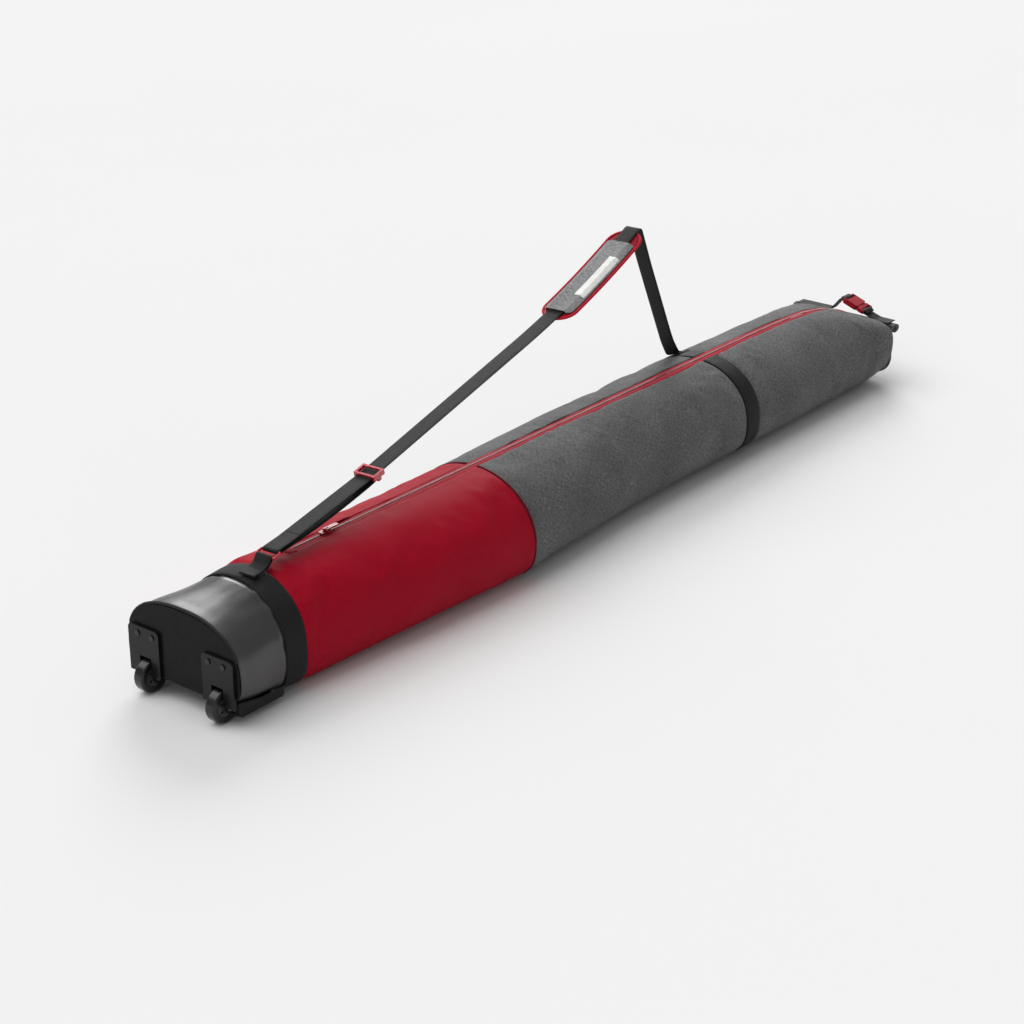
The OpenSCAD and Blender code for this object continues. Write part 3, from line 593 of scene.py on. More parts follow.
class Skin:
    """The outer surface sampled from the CAD skins: distance from a middle line by x and angle."""

    def __init__(self):
        skins = tree("boot_sleeve", "sleeve_base", "red_panel_near", "red_panel_far",
                     "grey_panel_near", "grey_panel_far", "front_band", "rear_band",
                     "zip_tape_near", "zip_tape_far")
        self.xs = np.arange(start_x + 0.6 * MM, mouth_x - 0.4 * MM, ROW)
        self.angles = np.radians(np.arange(0, 360, 2.5))
        self.mid = np.array([self.middle(skins, x) for x in self.xs])
        self.mid = smoothed(self.mid, 4, 0, False)
        rows = []
        for x, y in zip(self.xs, self.mid):
            row = radial(skins, (x, y, MID_Z), self.angles, 0.35)
            bad = np.isnan(row)
            if bad.any():
                turns = np.concatenate([self.angles - 2 * np.pi, self.angles,
                                        self.angles + 2 * np.pi])
                known = np.tile(~bad, 3)
                row[bad] = np.interp(self.angles[bad], turns[known], np.tile(row, 3)[known])
            rows.append(row)
        radius = smoothed(np.array(rows), 1.6, 1, True)
        self.radius = smoothed(radius, 2.0, 0, False)

    def middle(self, skins, x):
        sides = []
        for way in (-1, 1):
            hit = skins.ray_cast(Vector((x, way * 0.4, MID_Z)), Vector((0, -way, 0)), 0.5)
            sides.append(hit[0].y)
        return sum(sides) / 2

    def reach(self, x, a):
        x, a = np.broadcast_arrays(np.asarray(x, float), np.asarray(a, float))
        i = np.clip((x - self.xs[0]) / (self.xs[1] - self.xs[0]), 0, len(self.xs) - 1.001)
        j = (a / (self.angles[1] - self.angles[0])) % len(self.angles)
        i0, j0 = np.floor(i).astype(int), np.floor(j).astype(int)
        f, g = i - i0, j - j0
        j1 = (j0 + 1) % len(self.angles)
        r = self.radius
        return ((r[i0, j0] * (1 - f) + r[i0 + 1, j0] * f) * (1 - g)
                + (r[i0, j1] * (1 - f) + r[i0 + 1, j1] * f) * g)

    def centre(self, x):
        return np.interp(x, self.xs, self.mid)

    def at(self, x, a, out=0.0, floor=0.0003):
        """Points at x and angle a, moved out of the cloth."""
        r = self.reach(x, a) + out
        x, a, r = np.broadcast_arrays(x, a, r)
        y = self.centre(x) + r * np.cos(a)
        z = MID_Z + r * np.sin(a)
        return np.stack([x, y, np.maximum(z, floor)], -1)

    def angle(self, x, y):
        """The angle at which the top of the bag stands at sideways position y."""
        x = np.asarray(x, float)
        a = np.full(x.shape, np.pi / 2)
        for _ in range(8):
            a = np.arccos(np.clip((y - self.centre(x)) / self.reach(x, a), -1, 1))
        return a


skin = Skin()
NEAR_EDGE, FAR_EDGE = TAPES[0][1], TAPES[1][1]


PARTING = 12 * MM  # the length over which the panels part, at each end of the zip
EDGE = 0.93  # how much of the tapes' width they leave open


def zip_open(x):
    """How far the panels' edges have parted for the zip, from 0 to 1."""
    return ramp(x, zip_x0 - PARTING, zip_x0) * (1 - ramp(x, zip_x1, zip_x1 + PARTING))


def near_edge(x):
    return skin.angle(x, zip_y + (NEAR_EDGE - zip_y) * zip_open(x) * EDGE)


def far_edge(x):
    return 2 * np.pi + skin.angle(x, zip_y + (FAR_EDGE - zip_y) * zip_open(x) * EDGE)


def at_angle(degrees):
    """An edge that runs straight along the bag at one angle."""
    return lambda x: x * 0 + math.radians(degrees)


bottom = at_angle(270)


def sheet_points(x0, x1, low, high, rows, columns):
    """Grid of x and angle between two edges that are functions of x."""
    x = np.linspace(x0, x1, rows)[:, None]
    t = np.linspace(0, 1, columns)[None, :]
    a = low(x) * (1 - t) + high(x) * t
    return np.broadcast_to(x, a.shape), a


PULL = 2.2 * MM


def banding(x):
    """How far the bands pull the cloth in, in metres."""
    pull = 0
    for low, high in (FRONT, REAR):
        pull = pull + ramp(x, low[0] - 9 * MM, low[0] + 2 * MM) * (
            1 - ramp(x, high[0] - 2 * MM, high[0] + 9 * MM))
    return pull * PULL


def folds(x, girth, kind):
    """Soft folds and puckers, in metres outwards."""
    from_zip = girth if kind.endswith("near") else girth.max(axis=1, keepdims=True) - girth
    out = 1.5 * field(x, girth, 0.17, 0.10, 1) + 0.8 * field(x + girth, girth - x, 0.08, 0.05, 2)
    out += 1.1 * bump(from_zip, 0.035) * field(x, girth, 0.016, 0.06, 3)
    for low, high in (FRONT, REAR):
        near = np.maximum(low[0] - x, x - high[0])
        out += 1.5 * bump(np.maximum(near, 0), 0.045) * field(girth, x, 0.013, 0.12, 4) * (near > 0)
    out += 0.9 * bump(x - seam_x, 0.03) * field(girth, x, 0.015, 0.08, 5)
    out -= 1.0 * bump(x - seam_x, 0.005)
    if kind.startswith("red"):
        slant = girth * 0.8 + x * 0.6
        out += 3.8 * field(slant, girth * 0.6 - x * 0.8, 0.045, 0.26, 6) * bump(girth - 0.16, 0.13)
    else:
        creased = ramp(x, mouth_x - 0.26, mouth_x - 0.03)
        out += creased * 3.0 * field(girth + 0.3 * x, x, 0.035, 0.16, 7)
        out += 1.6 * field(girth * 0.9 + x * 0.45, x, 0.05, 0.3, 8)
    out = np.where(out < 0, 0.3 * out, out) * (1 - ramp(x, mouth_x - 0.09, mouth_x - 0.035))
    return out * MM * (1 - banding(x) / PULL) - banding(x)


PANEL_COLUMNS = 60
PANEL_T = 1.2 * MM


def panel(colour, side, x0, x1):
    """One of the four fabric panels, from the zip round to the bottom."""
    kind, node = f"{colour}_{side}", f"{colour}_panel_{side}"
    low, high = (near_edge, bottom) if side == "near" else (bottom, far_edge)
    x, a = sheet_points(x0, x1, low, high, int((x1 - x0) / ROW), PANEL_COLUMNS)
    plain = skin.at(x, a)
    girth = lengths(plain, 1)
    calm = ramp(plain[..., 2], 0.004, 0.03)
    out = folds(x, girth, kind) * (0.1 + 0.9 * calm) - 0.2 * MM
    points = skin.at(x, a, out)
    obj = grid_object(f"{colour}_cloth_{side}", points, M[colour], np.stack([x, girth], 2))
    held = (points[..., 2] < 5 * MM) | (x > mouth_x - 0.05)
    held[[0, 1, -1]] = True
    held[:, [0, 1, -2, -1]] = True
    for low_, high_ in (FRONT, REAR):
        held |= (x > low_[0] - 3 * MM) & (x < high_[0] + 3 * MM)
    settled(obj, held.ravel(), 0.6, 0.012, 3.5 * MM)
    sheet(obj, PANEL_T, "bag", f"{colour}_fabric", node)


for colour, x0, x1 in (("red", sleeve_x + 0.4 * MM, seam_x), ("grey", seam_x + 0.2 * MM, mouth_x)):
    for side in ("near", "far"):
        panel(colour, side, x0, x1)

# ---------------------------------------------------------------- wheel end

HOUSING = []
for end in ("left", "right"):
    tread = box("wheel_tread_" + end)
    HOUSING.append(((tread[0][1] + tread[1][1]) / 2, box("wheel_bracket_" + end)[1][0] + 1.2 * MM))


def in_housing(p):
    return any(abs(p[1] - mid) < 18.4 * MM and p[0] < back and p[2] < 62 * MM
               for mid, back in HOUSING)


def cut(obj):
    """Leaves room for the wheels and their brackets."""
    bm = bmesh.new()
    bm.from_mesh(obj.data)
    gone = [f for f in bm.faces if in_housing(f.calc_center_median())]
    bmesh.ops.delete(bm, geom=gone, context="FACES")
    bm.to_mesh(obj.data)
    bm.free()
    return obj


def sleeve():
    """The coated cloth over the wheel end, and the strip of it underneath."""
    rows = int((sleeve_x - start_x) / 0.0025)
    x, a = sheet_points(start_x, sleeve_x + 0.2 * MM, at_angle(-50), at_angle(230), rows, 200)
    plain = skin.at(x, a)
    girth = lengths(plain, 1)
    taut = 1.3 * field(girth * 0.8 + x * 0.5, x, 0.05, 0.09, 11)
    taut += 0.9 * field(girth, x, 0.016, 0.10, 12) * ramp(x, start_x, FRONT[0][0])
    taut -= 1.6 * bump(x - FRONT[0][0] + 0.03, 0.03)
    points = skin.at(x, a, taut * MM * ramp(x, start_x, start_x + 0.02) - banding(x))
    obj = grid_object("sleeve_cloth", points, M["coated"], np.stack([x, girth], 2))
    sheet(cut(obj), PANEL_T, "bag", "coated_fabric", "boot_sleeve")
    low = box("sleeve_base")[0]
    x, a = sheet_points(low[0], sleeve_x, at_angle(230.3), at_angle(309.7), 40, 60)
    plain = skin.at(x, a)
    points = skin.at(x, a, -banding(x) * ramp(plain[..., 2], 0.002, 0.02))
    obj = grid_object("sleeve_under", points, M["coated"], np.stack([x, lengths(plain, 1)], 2))
    sheet(obj, PANEL_T, "bag", "coated_fabric", "sleeve_base")


sleeve()


def end_edge():
    """The cord bound round the moulded end."""
    low, high = box("end_piping")
    a = np.radians(np.linspace(14, 166, 120))
    line = skin.at(np.full(a.shape, start_x + 1 * MM), a, 0.6 * MM)
    line[:, 0] = (low[0] + high[0]) / 2
    ride(tube_object("end_binding", line, 2.4 * MM, M["trim"], 12), "bag", "black_trim", "end_piping")


end_edge()

# ---------------------------------------------------------------- bands and seam


def band(name, node, mat):
    """A webbing band round the bag, with a row of stitches along each edge."""
    low, high = box(node)
    x, a = sheet_points(low[0], high[0], near_edge, far_edge, 13, 260)
    plain = skin.at(x, a)
    girth = lengths(plain, 1)
    across = np.abs(np.linspace(-1, 1, 13))[:, None]
    out = 0.5 * MM - 0.9 * MM * across ** 6 + 0.5 * MM * field(girth, x, 0.05, 0.03, 21)
    out = np.where(plain[..., 2] < 0.003, -0.1 * MM, out)
    points = skin.at(x, a, out)
    obj = grid_object(name, points, mat, np.stack([girth, x], 2))
    sheet(obj, 1.6 * MM, "bag", "webbing", node)
    for k, row in enumerate((1, 11)):
        seam = stitches(f"{name}_seam_{k}", points[row] + [0, 0, 0.0001], (0, 0, 1),
                        M["black_thread"])
        ride(seam, "bag", "webbing")


band("front_webbing", "front_band", M["webbing"])
band("rear_webbing", "rear_band", M["webbing"])


def welt():
    """The corded seam between red and grey, in two lengths that leave out the bottom."""
    for side, a0, a1 in (("near", near_edge(np.array([seam_x]))[0], math.radians(246)),
                         ("far", math.radians(294), far_edge(np.array([seam_x]))[0])):
        a = np.linspace(a0, a1, 90)
        line = skin.at(np.full(a.shape, seam_x), a, 0.4 * MM, 0.002)
        tube = tube_object("seam_cord_" + side, line, 1.5 * MM, M["welt"])
        ride(tube, "bag", "dark_red_fabric", "panel_welt")


welt()

# ---------------------------------------------------------------- zip


def zip_parts():
    """Both tapes with their seams, and the coil."""
    x = np.arange(zip_x0, zip_x1, 0.005)[:, None]
    for side, way in (("near", -1), ("far", 1)):
        ys = zip_y + way * np.array([2.4, 4.5, 8.0, 11.9, 13.4]) * MM
        rows = []
        for y, out in zip(ys, (0.0, 0.1, -0.1, -0.5, -1.6)):
            wave = 0.35 * MM * field(x, x * 0, 0.03, 1, 31)
            rows.append(skin.at(x, skin.angle(x, y), out * MM + wave)[:, 0])
        points = np.stack(rows, 1)
        if way > 0:
            points = points[:, ::-1]
        obj = grid_object("zip_cloth_" + side, points, M["tape"])
        sheet(obj, 0.9 * MM, "bag", "red_tape", "zip_tape_" + side)
        line = skin.at(x, skin.angle(x, ys[2]), 0.1 * MM)[:, 0]
        ride(stitches("zip_seam_" + side, line, (0, 0, 1), M["red_thread"]), "bag", "red_tape")
    teeth(np.arange(zip_x0, zip_x1, 0.0024))


def teeth(at):
    """Interlocked rows of small rounded teeth."""
    points, faces = [], []
    top = skin.at(at, skin.angle(at, zip_y), 0.0)
    for k, p in enumerate(top):
        way = 1 if k % 2 else -1
        base = len(points)
        for dx, w in ((-0.8, 0.8), (0.8, 0.8)):
            for y, z in ((-2.7, -0.2), (-2.7, 0.7), (-1.6, 1.15), (0.5, 1.2), (1.0, 0.6), (1.0, -0.4)):
                points.append(p + np.array([dx, way * y, z * w + 0.1]) * MM)
        for i in range(6):
            j = (i + 1) % 6
            f = (base + i, base + j, base + 6 + j, base + 6 + i)
            faces.append(f if way > 0 else f[::-1])
        for first in (base, base + 6):
            f = tuple(range(first, first + 6))
            faces.append(f[::-1] if (first == base) == (way > 0) else f)
    ride(mesh_object("zip_teeth", points, faces, None, M["zip"], False), "bag", "zip_plastic", "zip_coil")


def zip_tab(name, x0, x1):
    """The folded tab sewn over an end of the zip."""
    x = np.linspace(x0, x1, 12)[:, None]
    y = zip_y + np.linspace(14, -14, 15)[None, :] * MM
    lift = 2.4 * (1 - np.abs(np.linspace(-1, 1, 12)) ** 4)[:, None] * (
        1 - 0.6 * np.abs(np.linspace(-1, 1, 15)) ** 4)[None, :]
    a = np.stack([skin.angle(x[:, 0], float(v)) for v in y[0]], 1)
    obj = grid_object(name, skin.at(x, a, lift * MM), M["tape"])
    sheet(obj, 1.2 * MM, "bag", "red_tape", "zip_end_tabs")


zip_parts()
tabs = box("zip_end_tabs")
zip_tab("zip_tab_front", tabs[0][0], tabs[0][0] + 0.02)
zip_tab("zip_tab_rear", tabs[1][0] - 0.02, tabs[1][0])

# ---------------------------------------------------------------- rolled mouth

ROLL, GUSSET = box("mouth_roll"), box("mouth_gusset")


def gusset():
    """The mouth's folded cloth, drawn in below the roll."""
    solid = tree("mouth_gusset")
    low, high = GUSSET
    mid = (low + high) / 2
    xs = np.linspace(low[0] + 0.2 * MM, high[0] - 0.2 * MM, 16)
    angles = np.radians(np.arange(0, 360, 3))
    rows = [radial(solid, (x, mid[1], mid[2]), angles, 0.3) for x in xs]
    reach = smoothed(smoothed(np.array(rows), 1.5, 1, True), 1.2, 0, False)
    depth = np.linspace(0, 1, len(xs))[:, None]
    turn = np.broadcast_to(angles[None, :], reach.shape)
    crease = 2.0 * bump((turn % np.pi) - 0.35, 0.10) + 2.0 * bump((turn % np.pi) - 2.79, 0.10)
    crease += 1.5 * field(np.cos(turn) * 5, np.sin(turn) * 5 + depth * 2, 1, 1, 41)
    reach = reach - crease * MM * depth
    points = np.stack([np.broadcast_to(xs[:, None], reach.shape),
                       mid[1] + reach * np.cos(turn), mid[2] + reach * np.sin(turn)], 2)
    inner = []
    for f in (0.85, 0.6, 0.3, 0.08):
        ring = points[-1].copy()
        ring[:, 1] = mid[1] + (ring[:, 1] - mid[1]) * f
        ring[:, 2] = mid[2] + (ring[:, 2] - mid[2]) * f
        ring[:, 0] = high[0] - 0.2 * MM - 5 * MM * bump(ring[:, 2] - mid[2], 0.006) * (1 - f * 0.4)
        ring[:, 0] -= 2.5 * MM * bump(np.abs(ring[:, 1]) - 0.05 - ring[:, 2] * 0.3, 0.008)
        inner.append(ring)
    points = np.concatenate([points, np.array(inner)])
    obj = grid_object("mouth_folds", points, M["grey"], wrap=True, caps=True)
    ride(obj, "bag", "grey_fabric", "mouth_gusset")


def roll():
    """The mouth rolled up: one long spiral of cloth."""
    low, high = ROLL
    mid, half = (low + high) / 2, (high - low) / 2
    turns = np.linspace(0, 2.6 * 2 * np.pi, 110)[None, :]
    ys = np.linspace(low[1], high[1], 90)[:, None]
    size = 1 - 0.62 * turns / turns.max()
    flatten = 1 - 0.10 * bump(np.abs(ys - mid[1]) - half[1], 0.02)
    wave = 1 + 0.05 * field(ys, turns * 0.05, 0.045, 0.2, 51) * (1 - 0.6 * (size < 0.99))
    grow = np.minimum(1, size * wave)
    x = mid[0] + (half[0] - 0.3 * MM) * grow * np.cos(2.4 - turns)
    z = mid[2] + (half[2] - 0.3 * MM) * grow * flatten * np.sin(2.4 - turns)
    points = np.stack([x, np.broadcast_to(ys, x.shape), z], 2)
    obj = grid_object("mouth_rolled", points, M["grey"])
    sheet(obj, 1.3 * MM, "bag", "grey_fabric", "mouth_roll")


gusset()
roll()

WEB_T = 1.5 * MM


def bridge(obj, node):
    """Webbing that runs between two bodies, left unattached: hides its CAD part and bakes its placement
    into its points.
    """
    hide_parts(node)
    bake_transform(obj)


BUCKLE = box("buckle_socket")
pull = np.array(JOINTS["buckle_release"]["axis"])
lift = np.cross([1, 0, 0], pull)
lift = lift if lift[2] > 0 else -lift
socket_mid = (BUCKLE[0] + BUCKLE[1]) / 2
# The webbing bars stand this far either side of the buckle's own middle
buckle_mid = socket_mid + pull * 9 * MM


def on_buckle(x, z):
    """A point in millimetres along the buckle's pull and off the bag."""
    return buckle_mid + pull * x * MM + lift * z * MM


def closure(side):
    """The webbing from the roll to the buckle, looped round the buckle's bar."""
    way = -1 if side == "far" else 1
    low, high = box("closure_strap_" + side)
    outer = high[1] if side == "far" else low[1]
    top = ROLL[1][2] + 1.1 * MM
    x = (low[0] + high[0]) / 2
    start = [[x, outer, top]]
    if side == "far":
        start += [[x, outer * 0.6, top + 0.1 * MM], [x, 0.040, top + 0.4 * MM]]
    else:
        start += [[x, outer * 0.9, top], [x, -0.066, top + 0.2 * MM]]
    loop = [on_buckle(way * 34, -3.2), on_buckle(way * 21, -3.3), on_buckle(way * 20.6, 0),
            on_buckle(way * 21, 3.3), on_buckle(way * 27, 3.2), on_buckle(way * 33, 0.4)]
    line = eased(np.array(start + [list(p) for p in loop]), 1.5 * MM, 1.4 * MM)
    obj = strip_object("closure_webbing_" + side, line, (1, 0, 0), 28 * MM, WEB_T, M["webbing"])
    node = "closure_strap_" + side
    if side == "far":
        ride(obj, "bag", "webbing", node)
    else:
        bridge(obj, node)


closure("far")
closure("near")

# ---------------------------------------------------------------- shoulder strap

foot = np.array(JOINTS["strap_swing"]["pos_m"])
way = np.array(JOINTS["strap_swing"]["axis"])
U = np.array([way[0], way[1], 0]) / math.hypot(way[0], way[1])
V = np.array([-U[1], U[0], 0])
UP = np.array([0, 0, 1.0])
SIDE = tuple(V)
STRAP_W = 30 * MM


def strap_point(u, z, v=0.0):
    """A point in the strap's upright plane, u from its front ring."""
    return foot * [1, 1, 0] + U * u + V * v + UP * z


def in_strap(node):
    """A CAD node's points as u, v and z of the strap's plane."""
    points = np.array([v.co for v in NODES[node].data.vertices], float)
    flat = points - foot * [1, 1, 0]
    return np.stack([flat @ U, flat @ V, points[:, 2]], 1)


def centreline(node):
    """The middle line of a CAD strip in the strap's plane, in order of u."""
    points = in_strap(node)
    rim = points[points[:, 1] > points[:, 1].max() - 1e-4][:, [0, 2]]
    rim = np.unique(np.round(rim, 6), axis=0)
    middles = []
    for k, p in enumerate(rim):
        gaps = np.linalg.norm(rim - p, axis=1)
        gaps[k] = 1
        j = int(gaps.argmin())
        if gaps[j] < 4 * MM:
            middles.append((p + rim[j]) / 2)
    middles = np.unique(np.round(middles, 5), axis=0)
    return middles[middles[:, 0].argsort()]


def lifted(line):
    """A line in the strap's plane, in space."""
    return np.array([strap_point(u, z) for u, z in line])


def strap_strip(name, line):
    return strip_object(name, lifted(line), SIDE, STRAP_W, WEB_T, M["webbing"])


ring_u = in_strap("strap_ring")
ring_low, ring_high = ring_u.min(0), ring_u.max(0)
front_bar = np.array([ring_low[0] + 2 * MM, ring_low[2] + 2 * MM])
rear_bar = np.array([ring_high[0] - 2 * MM, ring_high[2] - 2 * MM])


def turn_about(centre, radius, a0, a1, count=9):
    """An arc's points, between two angles in degrees."""
    a = np.radians(np.linspace(a0, a1, count))
    return [centre + radius * np.array([math.cos(t), math.sin(t)]) for t in a]


upper = centreline("shoulder_strap")
upper_line = eased(upper, 3 * MM, 3.2 * MM)
ride(strap_strip("strap_webbing", upper_line), "shoulder_strap", "webbing", "shoulder_strap")

split = upper_line[0]
ahead = (upper_line[3] - upper_line[0]) / np.linalg.norm(upper_line[3] - upper_line[0])
front_line = eased(np.array(
    turn_about(rear_bar, 3.1 * MM, 190, 104) + [list(split - ahead * 14 * MM), list(split)]),
    1.2 * MM, 1.2 * MM)
bridge(strap_strip("strap_front_webbing", front_line), "strap_front_end")

SLIDE = in_strap("strap_slide")
run = np.array(JOINTS["strap_slide_run"]["axis"])
slope = np.array([run @ U, run[2]])
slope /= np.linalg.norm(slope)
rise = np.array([-slope[1], slope[0]])
slide_at = upper[np.abs(upper[:, 0] - SLIDE[:, 0].mean()).argmin()]


def on_slide(x, z):
    """A point in millimetres along the strap and above it, from the slide's middle."""
    return slide_at + slope * x * MM + rise * z * MM


lower_start = turn_about(rear_bar, 3.1 * MM, 206, 290)
lower_end = [on_slide(-24, -8.8), on_slide(-14, -8.6), on_slide(0, -8.4), on_slide(2.4, -6),
             on_slide(0, -3.6), on_slide(-9, -5.8)]
SAG = np.array([0, 3.5 * MM])
sag = [lower_start[-1] * (1 - t) + lower_end[0] * t - SAG * math.sin(math.pi * t)
       for t in (0.12, 0.25, 0.4, 0.55, 0.7, 0.85)]
lower_line = eased(np.array([list(p) for p in lower_start + sag + lower_end]), 1.2 * MM, 1.2 * MM)
part = int(60 * MM / (1.2 * MM))
meet = lower_line[part]
for name, line, ends, start, end in (
        ("strap_lower_loop", lower_line[:part + 1], ("bag", "shoulder_strap"), rear_bar, meet),
        ("strap_lower_webbing", lower_line[part:], ("shoulder_strap", "strap_slide"), meet,
         on_slide(-20, -6))):
    bridge(strap_strip(name, line), "strap_return")


def wire_ring():
    """The rectangular ring, bent from round wire."""
    half = (ring_high[1] - ring_low[1]) / 2 - 2 * MM
    mid_v = (ring_high[1] + ring_low[1]) / 2
    corners = [strap_point(*bar, v * half + mid_v)
               for bar, v in ((front_bar, -1), (front_bar, 1), (rear_bar, 1), (rear_bar, -1))]
    line = []
    for k, here in enumerate(corners):
        back, there = corners[k - 1], corners[(k + 1) % 4]
        a = here + (back - here) / np.linalg.norm(back - here) * 2.5 * MM
        b = here + (there - here) / np.linalg.norm(there - here) * 2.5 * MM
        line += [a * (1 - t) ** 2 + here * 2 * t * (1 - t) + b * t * t
                 for t in (0, 0.25, 0.5, 0.75, 1)]
        line.append(b * 0.75 + there * 0.25)
    obj = tube_object("ring_wire", np.array(line), 2 * MM, M["redgloss"], 14, closed=True)
    ride(obj, "bag", "red_gloss", "strap_ring")


wire_ring()


def front_tab():
    """The tab sewn to the front band, folded round the ring."""
    back = in_strap("front_anchor_tab").min(0)
    top = skin.at(np.array([FRONT[1][0] - 0.01]), np.array([math.pi / 2]))[0][2]
    lower_tail = [[back[0], top + 1.6 * MM], [-0.022, top + 2.2 * MM], [-0.008, top + 6 * MM]]
    round_bar = turn_about(front_bar, 3.0 * MM, -60, 140, 14)
    upper_tail = [[-0.010, top + 9.0 * MM], [-0.022, top + 4.4 * MM], [back[0], top + 3.4 * MM]]
    line = eased(np.array([list(p) for p in lower_tail + round_bar + upper_tail]), 1.0 * MM, 1.4 * MM)
    ride(strap_strip("front_tab", line), "bag", "webbing", "front_anchor_tab")
    corners = [(back[0] + 3 * MM, -11), (back[0] + 16 * MM, -11), (back[0] + 16 * MM, 11),
               (back[0] + 3 * MM, 11), (back[0] + 3 * MM, -11), (back[0] + 16 * MM, 11)]
    thread = np.array([strap_point(u, top + 4.3 * MM, v * MM) for u, v in corners])
    ride(stitches("front_tab_seam", thread, (0, 0, 1), M["grey_thread"]), "bag", "webbing")


front_tab()


def rear_parts():
    """The strap's rear end, turning flat onto its tab."""
    end = in_strap("strap_rear_end")
    last = upper_line[-1]
    foot_u, foot_z = end[:, 0].max(), end[:, 2].min() + 5 * MM
    path = eased(np.array([list(last), [last[0] + 17 * MM, last[1] - 32 * MM],
                           [foot_u - 9 * MM, foot_z + 16 * MM], [foot_u, foot_z + 4 * MM],
                           [foot_u + 12 * MM, foot_z]]), 1.5 * MM, 3 * MM)
    line = lifted(path)
    roll_ = np.radians(-26) * ramp(np.linspace(0, 1, len(line)), 0.1, 1)[:, None]
    side = V[None, :] * np.cos(roll_) + UP[None, :] * np.sin(roll_)
    obj = strip_object("strap_rear_webbing", line, side, STRAP_W, WEB_T, M["webbing"])
    bridge(obj, "strap_rear_end")
    low, high = box("rear_anchor_tab")
    x = np.linspace(low[0], high[0], 24)[:, None]
    y = np.linspace(low[1] + 2 * MM, high[1] - 2 * MM, 14)
    a = np.stack([skin.angle(x[:, 0], float(v)) for v in y], 1)
    swell = 2.0 - 1.0 * np.abs(np.linspace(-1, 1, 24))[:, None] ** 6 - 0.5 * np.abs(
        np.linspace(-1, 1, 14))[None, :] ** 6
    points = skin.at(x, a, swell * MM)
    tab = grid_object("rear_tab", points[:, ::-1], M["webbing"])
    sheet(tab, 1.6 * MM, "bag", "webbing", "rear_anchor_tab")


rear_parts()

# ---------------------------------------------------------------- shoulder pad

arc_mid = np.array(JOINTS["pad_run"]["pos_m"])
arc_u = float((arc_mid - foot * [1, 1, 0]) @ U)
back_uvz = in_strap("pad_back")
turned = np.arctan2(back_uvz[:, 0] - arc_u, arc_mid[2] - back_uvz[:, 2])
pad_a0, pad_a1 = turned.min(), turned.max()
strap_uz = in_strap("shoulder_strap")
bend = np.arctan2(strap_uz[:, 0] - arc_u, arc_mid[2] - strap_uz[:, 2])
held = (bend > pad_a0) & (bend < pad_a1)
radii = np.hypot(strap_uz[held, 0] - arc_u, arc_mid[2] - strap_uz[held, 2])
ARC_R = (radii.min() + radii.max()) / 2
PAD_L = (pad_a1 - pad_a0) * ARC_R
PAD_HALF = (back_uvz[:, 1].max() - back_uvz[:, 1].min()) / 2
END = 30 * MM


def pad_point(d, v, n):
    """A point on the pad: d along the strap, v across it, n above it."""
    a = pad_a0 + np.asarray(d) / ARC_R
    u = arc_u + (ARC_R - n) * np.sin(a)
    z = arc_mid[2] - (ARC_R - n) * np.cos(a)
    return foot * [1, 1, 0] + sum(np.asarray(c)[..., None] * way for c, way in ((u, U), (v, V), (z, UP)))


def half_width(d):
    """The pad's half width, rounded off at both ends."""
    q = np.clip(1 - np.minimum(d, PAD_L - d) / END, 0, 1)
    return PAD_HALF * np.sqrt(1 - q ** 2)


def cushion():
    """The pad's padded back."""
    rows = np.concatenate([[0.4, 2, 4, 7, 11, 16, 22], np.linspace(30, PAD_L / MM - 30, 50),
                           PAD_L / MM - np.array([22, 16, 11, 7, 4, 2, 0.4])]) * MM
    t = np.concatenate([np.linspace(-1, 1, 25), np.linspace(1, -1, 25)[1:-1]])
    top = np.arange(len(t)) < 25
    d = rows[:, None]
    w = half_width(d) * t[None, :]
    swell = np.sqrt(np.clip(1 - np.abs(t) ** 5, 0, 1))[None, :]
    swell = swell * np.clip(half_width(d) / PAD_HALF * 1.4, 0, 1)
    n = np.where(top[None, :], -4.8 * MM + 3.0 * MM * swell, -4.8 * MM - 3.1 * MM * swell)
    n = n + 0.35 * MM * field(d, w, 0.022, 0.02, 61) * (swell > 0.3)
    points = pad_point(np.broadcast_to(d, w.shape), w, n)
    uv = np.stack([np.broadcast_to(d, w.shape), w], 2)
    obj = grid_object("pad_cushion", points, M["mesh"], uv, wrap=True, caps=True)
    held = np.broadcast_to(np.abs(t)[None, :] > 0.9, w.shape)
    settled(obj, held.ravel(), 3, 0.0, 0.9 * MM)
    ride(obj, "shoulder_pad", "red_mesh", "pad_back")


def pad_edge():
    """The piping round the pad."""
    out = 3.0 * MM
    a = np.radians(np.linspace(-90, 90, 25))
    ends = [(PAD_L - END + (END + out) * np.cos(a), (PAD_HALF + out) * np.sin(a)),
            (END - (END + out) * np.cos(a), -(PAD_HALF + out) * np.sin(a))]
    straight = np.linspace(PAD_L - END, END, 40)[1:-1]
    d = np.concatenate([ends[0][0], straight, ends[1][0], straight[::-1]])
    v = np.concatenate([ends[0][1], straight * 0 + PAD_HALF + out, ends[1][1],
                        straight * 0 - PAD_HALF - out])
    line = pad_point(d, v, np.full(d.shape, -4.6 * MM))
    obj = tube_object("pad_cord", line, 2.7 * MM, M["piping"], 12, closed=True)
    ride(obj, "shoulder_pad", "red_piping", "pad_piping")


def pad_span(node):
    """Where a CAD node of the pad starts and ends along the strap."""
    points = in_strap(node)
    turn = np.arctan2(points[:, 0] - arc_u, arc_mid[2] - points[:, 2])
    return (turn.min() - pad_a0) * ARC_R, (turn.max() - pad_a0) * ARC_R


def flank(w):
    """How far down the pad's rounded side a place is, from 0 on its flat top to 1."""
    return np.clip((np.abs(w) - 15.5 * MM) / (PAD_HALF - 15.5 * MM), 0, 1)


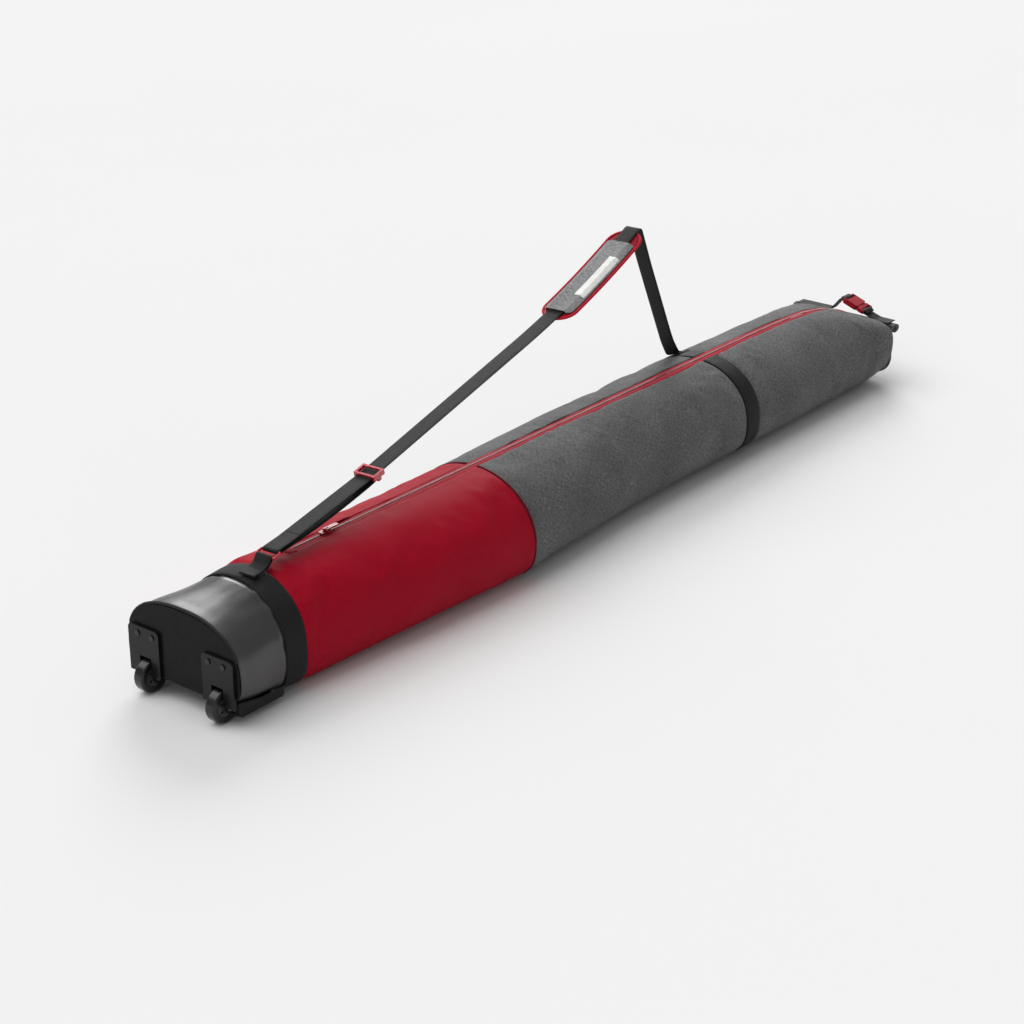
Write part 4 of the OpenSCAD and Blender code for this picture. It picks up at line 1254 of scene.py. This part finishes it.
def crown(w):
    """Height of the pad's cover in millimetres, with a ridge along each seam."""
    return 3.9 - 6.2 * flank(w) ** 1.6 + 0.5 * bump(np.abs(w) - 17 * MM, 2.5 * MM)


def pad_cover():
    """The pad's cloth cover with its seams, and the blank patch on it."""
    d0, d1 = pad_span("pad_face")
    d = np.concatenate([d0 + np.array([0, 0.5, 1.5]) * MM, np.linspace(d0 + 5 * MM, d1 - 5 * MM, 70),
                        d1 - np.array([1.5, 0.5, 0]) * MM])[:, None]
    w = (half_width(d) - 0.4 * MM) * np.linspace(1, -1, 41)[None, :]
    d = np.broadcast_to(d, w.shape)
    n = crown(w) + 0.35 * field(d, w, 0.03, 0.015, 62) * (1 - flank(w))
    points = pad_point(d, w, n * MM)
    obj = grid_object("pad_cover", points, M["heather"], np.stack([d, w], 2))
    sheet(obj, 1.3 * MM, "shoulder_pad", "heather_fabric", "pad_face")
    above, level = pad_point(PAD_L / 2, 0.0, np.array([1 * MM, 0]))
    for k, column in enumerate((3, 37)):
        seam = stitches(f"pad_seam_{k}", points[:, column], above - level, M["grey_thread"])
        ride(seam, "shoulder_pad", "heather_fabric")
    across = in_strap("pad_patch")[:, 1]
    d, w = np.broadcast_arrays(np.linspace(*pad_span("pad_patch"), 30)[:, None],
                               np.linspace(across.max(), across.min(), 14)[None, :])
    obj = grid_object("pad_label", pad_point(d, w, (crown(w) + 0.75) * MM), M["label"])
    sheet(obj, 0.4 * MM, "shoulder_pad", "white_print", "pad_patch")


cushion()
pad_edge()
pad_cover()

# ---------------------------------------------------------------- rigid parts

# Each CAD part that stays as it is, with its material and the width of its rounded edges in millimetres
RIGID = [("end_panel", "gloss", 1.8), ("backing_plate", "sheet", 0.2), ("axles", "steel", 0.4),
         ("bracket_rivets", "rivet", 0.6), ("rivet_washers", "rivet", 0.15),
         ("skid_tray", "bracket", 0.5), ("padded_lining", "lining", 0), ("zip_slider", "redmetal", 0.5),
         ("zip_puller", "redmetal", 0.5), ("buckle_socket", "redplastic", 0.9),
         ("buckle_prong", "redplastic", 0.7), ("strap_slide", "redgloss", 0.9)]
for side in ("left", "right"):
    RIGID += [("wheel_bracket_" + side, "bracket", 1.2), ("wheel_tread_" + side, "tread", 0.3),
              ("wheel_hub_" + side, "hub", 0.5)]
for node, mat, width in RIGID:
    polished(node, M[mat], width * MM)

# ---------------------------------------------------------------- floor, light and camera


# Each sun's name, where it shines from, its width in degrees and its strength
SUNS = [("sky", (-0.9, 1.3, 3.4), 60, 1.75), ("left", (-3.0, -0.3, 1.2), 40, 0.2),
        ("rear", (0.71, 0.57, 0.5), 30, 1.5)]


def stage():
    """The floor, the world's light and the suns."""
    s = Shade("floor")
    s.set(Roughness=0.9, Specular_IOR_Level=0.1)
    s.paint(s.colours(s.noise(s.place(), 0.6, 2), (0.3, (0.805,) * 3), (0.7, (0.815,) * 3)))
    floor = mesh_object("floor", [(-30, -30, 0), (30, -30, 0), (30, 30, 0), (-30, 30, 0)],
                        [(0, 1, 2, 3)], None, s.mat)
    world = bpy.data.worlds.new("studio")
    bpy.context.scene.world = world
    world.use_nodes = True
    back = world.node_tree.nodes["Background"]
    back.inputs[0].default_value = (1, 1, 1, 1)
    back.inputs[1].default_value = 0.34
    for name, spot, size, power in SUNS:
        light = bpy.data.lights.new(name, "SUN")
        light.energy, light.angle = power, math.radians(size)
        lamp = bpy.data.objects.new(name, light)
        bpy.context.scene.collection.objects.link(lamp)
        lamp.location = spot
        lamp.rotation_euler = (-Vector(spot)).to_track_quat("-Z", "Y").to_euler()


LENS, SENSOR = 78.73, 36  # mm
CAMERA = (-2.89, -2.182, 1.586)
HEADING, TILT = math.radians(38.74), math.radians(23.68)  # from the x axis, and downwards


def camera():
    """The photograph's viewing angle."""
    data = bpy.data.cameras.new("camera")
    data.lens, data.sensor_width, data.sensor_height = LENS, SENSOR, SENSOR
    data.clip_end = 200
    cam = bpy.data.objects.new("camera", data)
    bpy.context.scene.collection.objects.link(cam)
    cam.location = CAMERA
    cam.rotation_euler = (math.pi / 2 - TILT, 0, HEADING - math.pi / 2)
    bpy.context.scene.camera = cam


stage()
camera()
bpy.context.scene.view_settings.view_transform = "Standard"
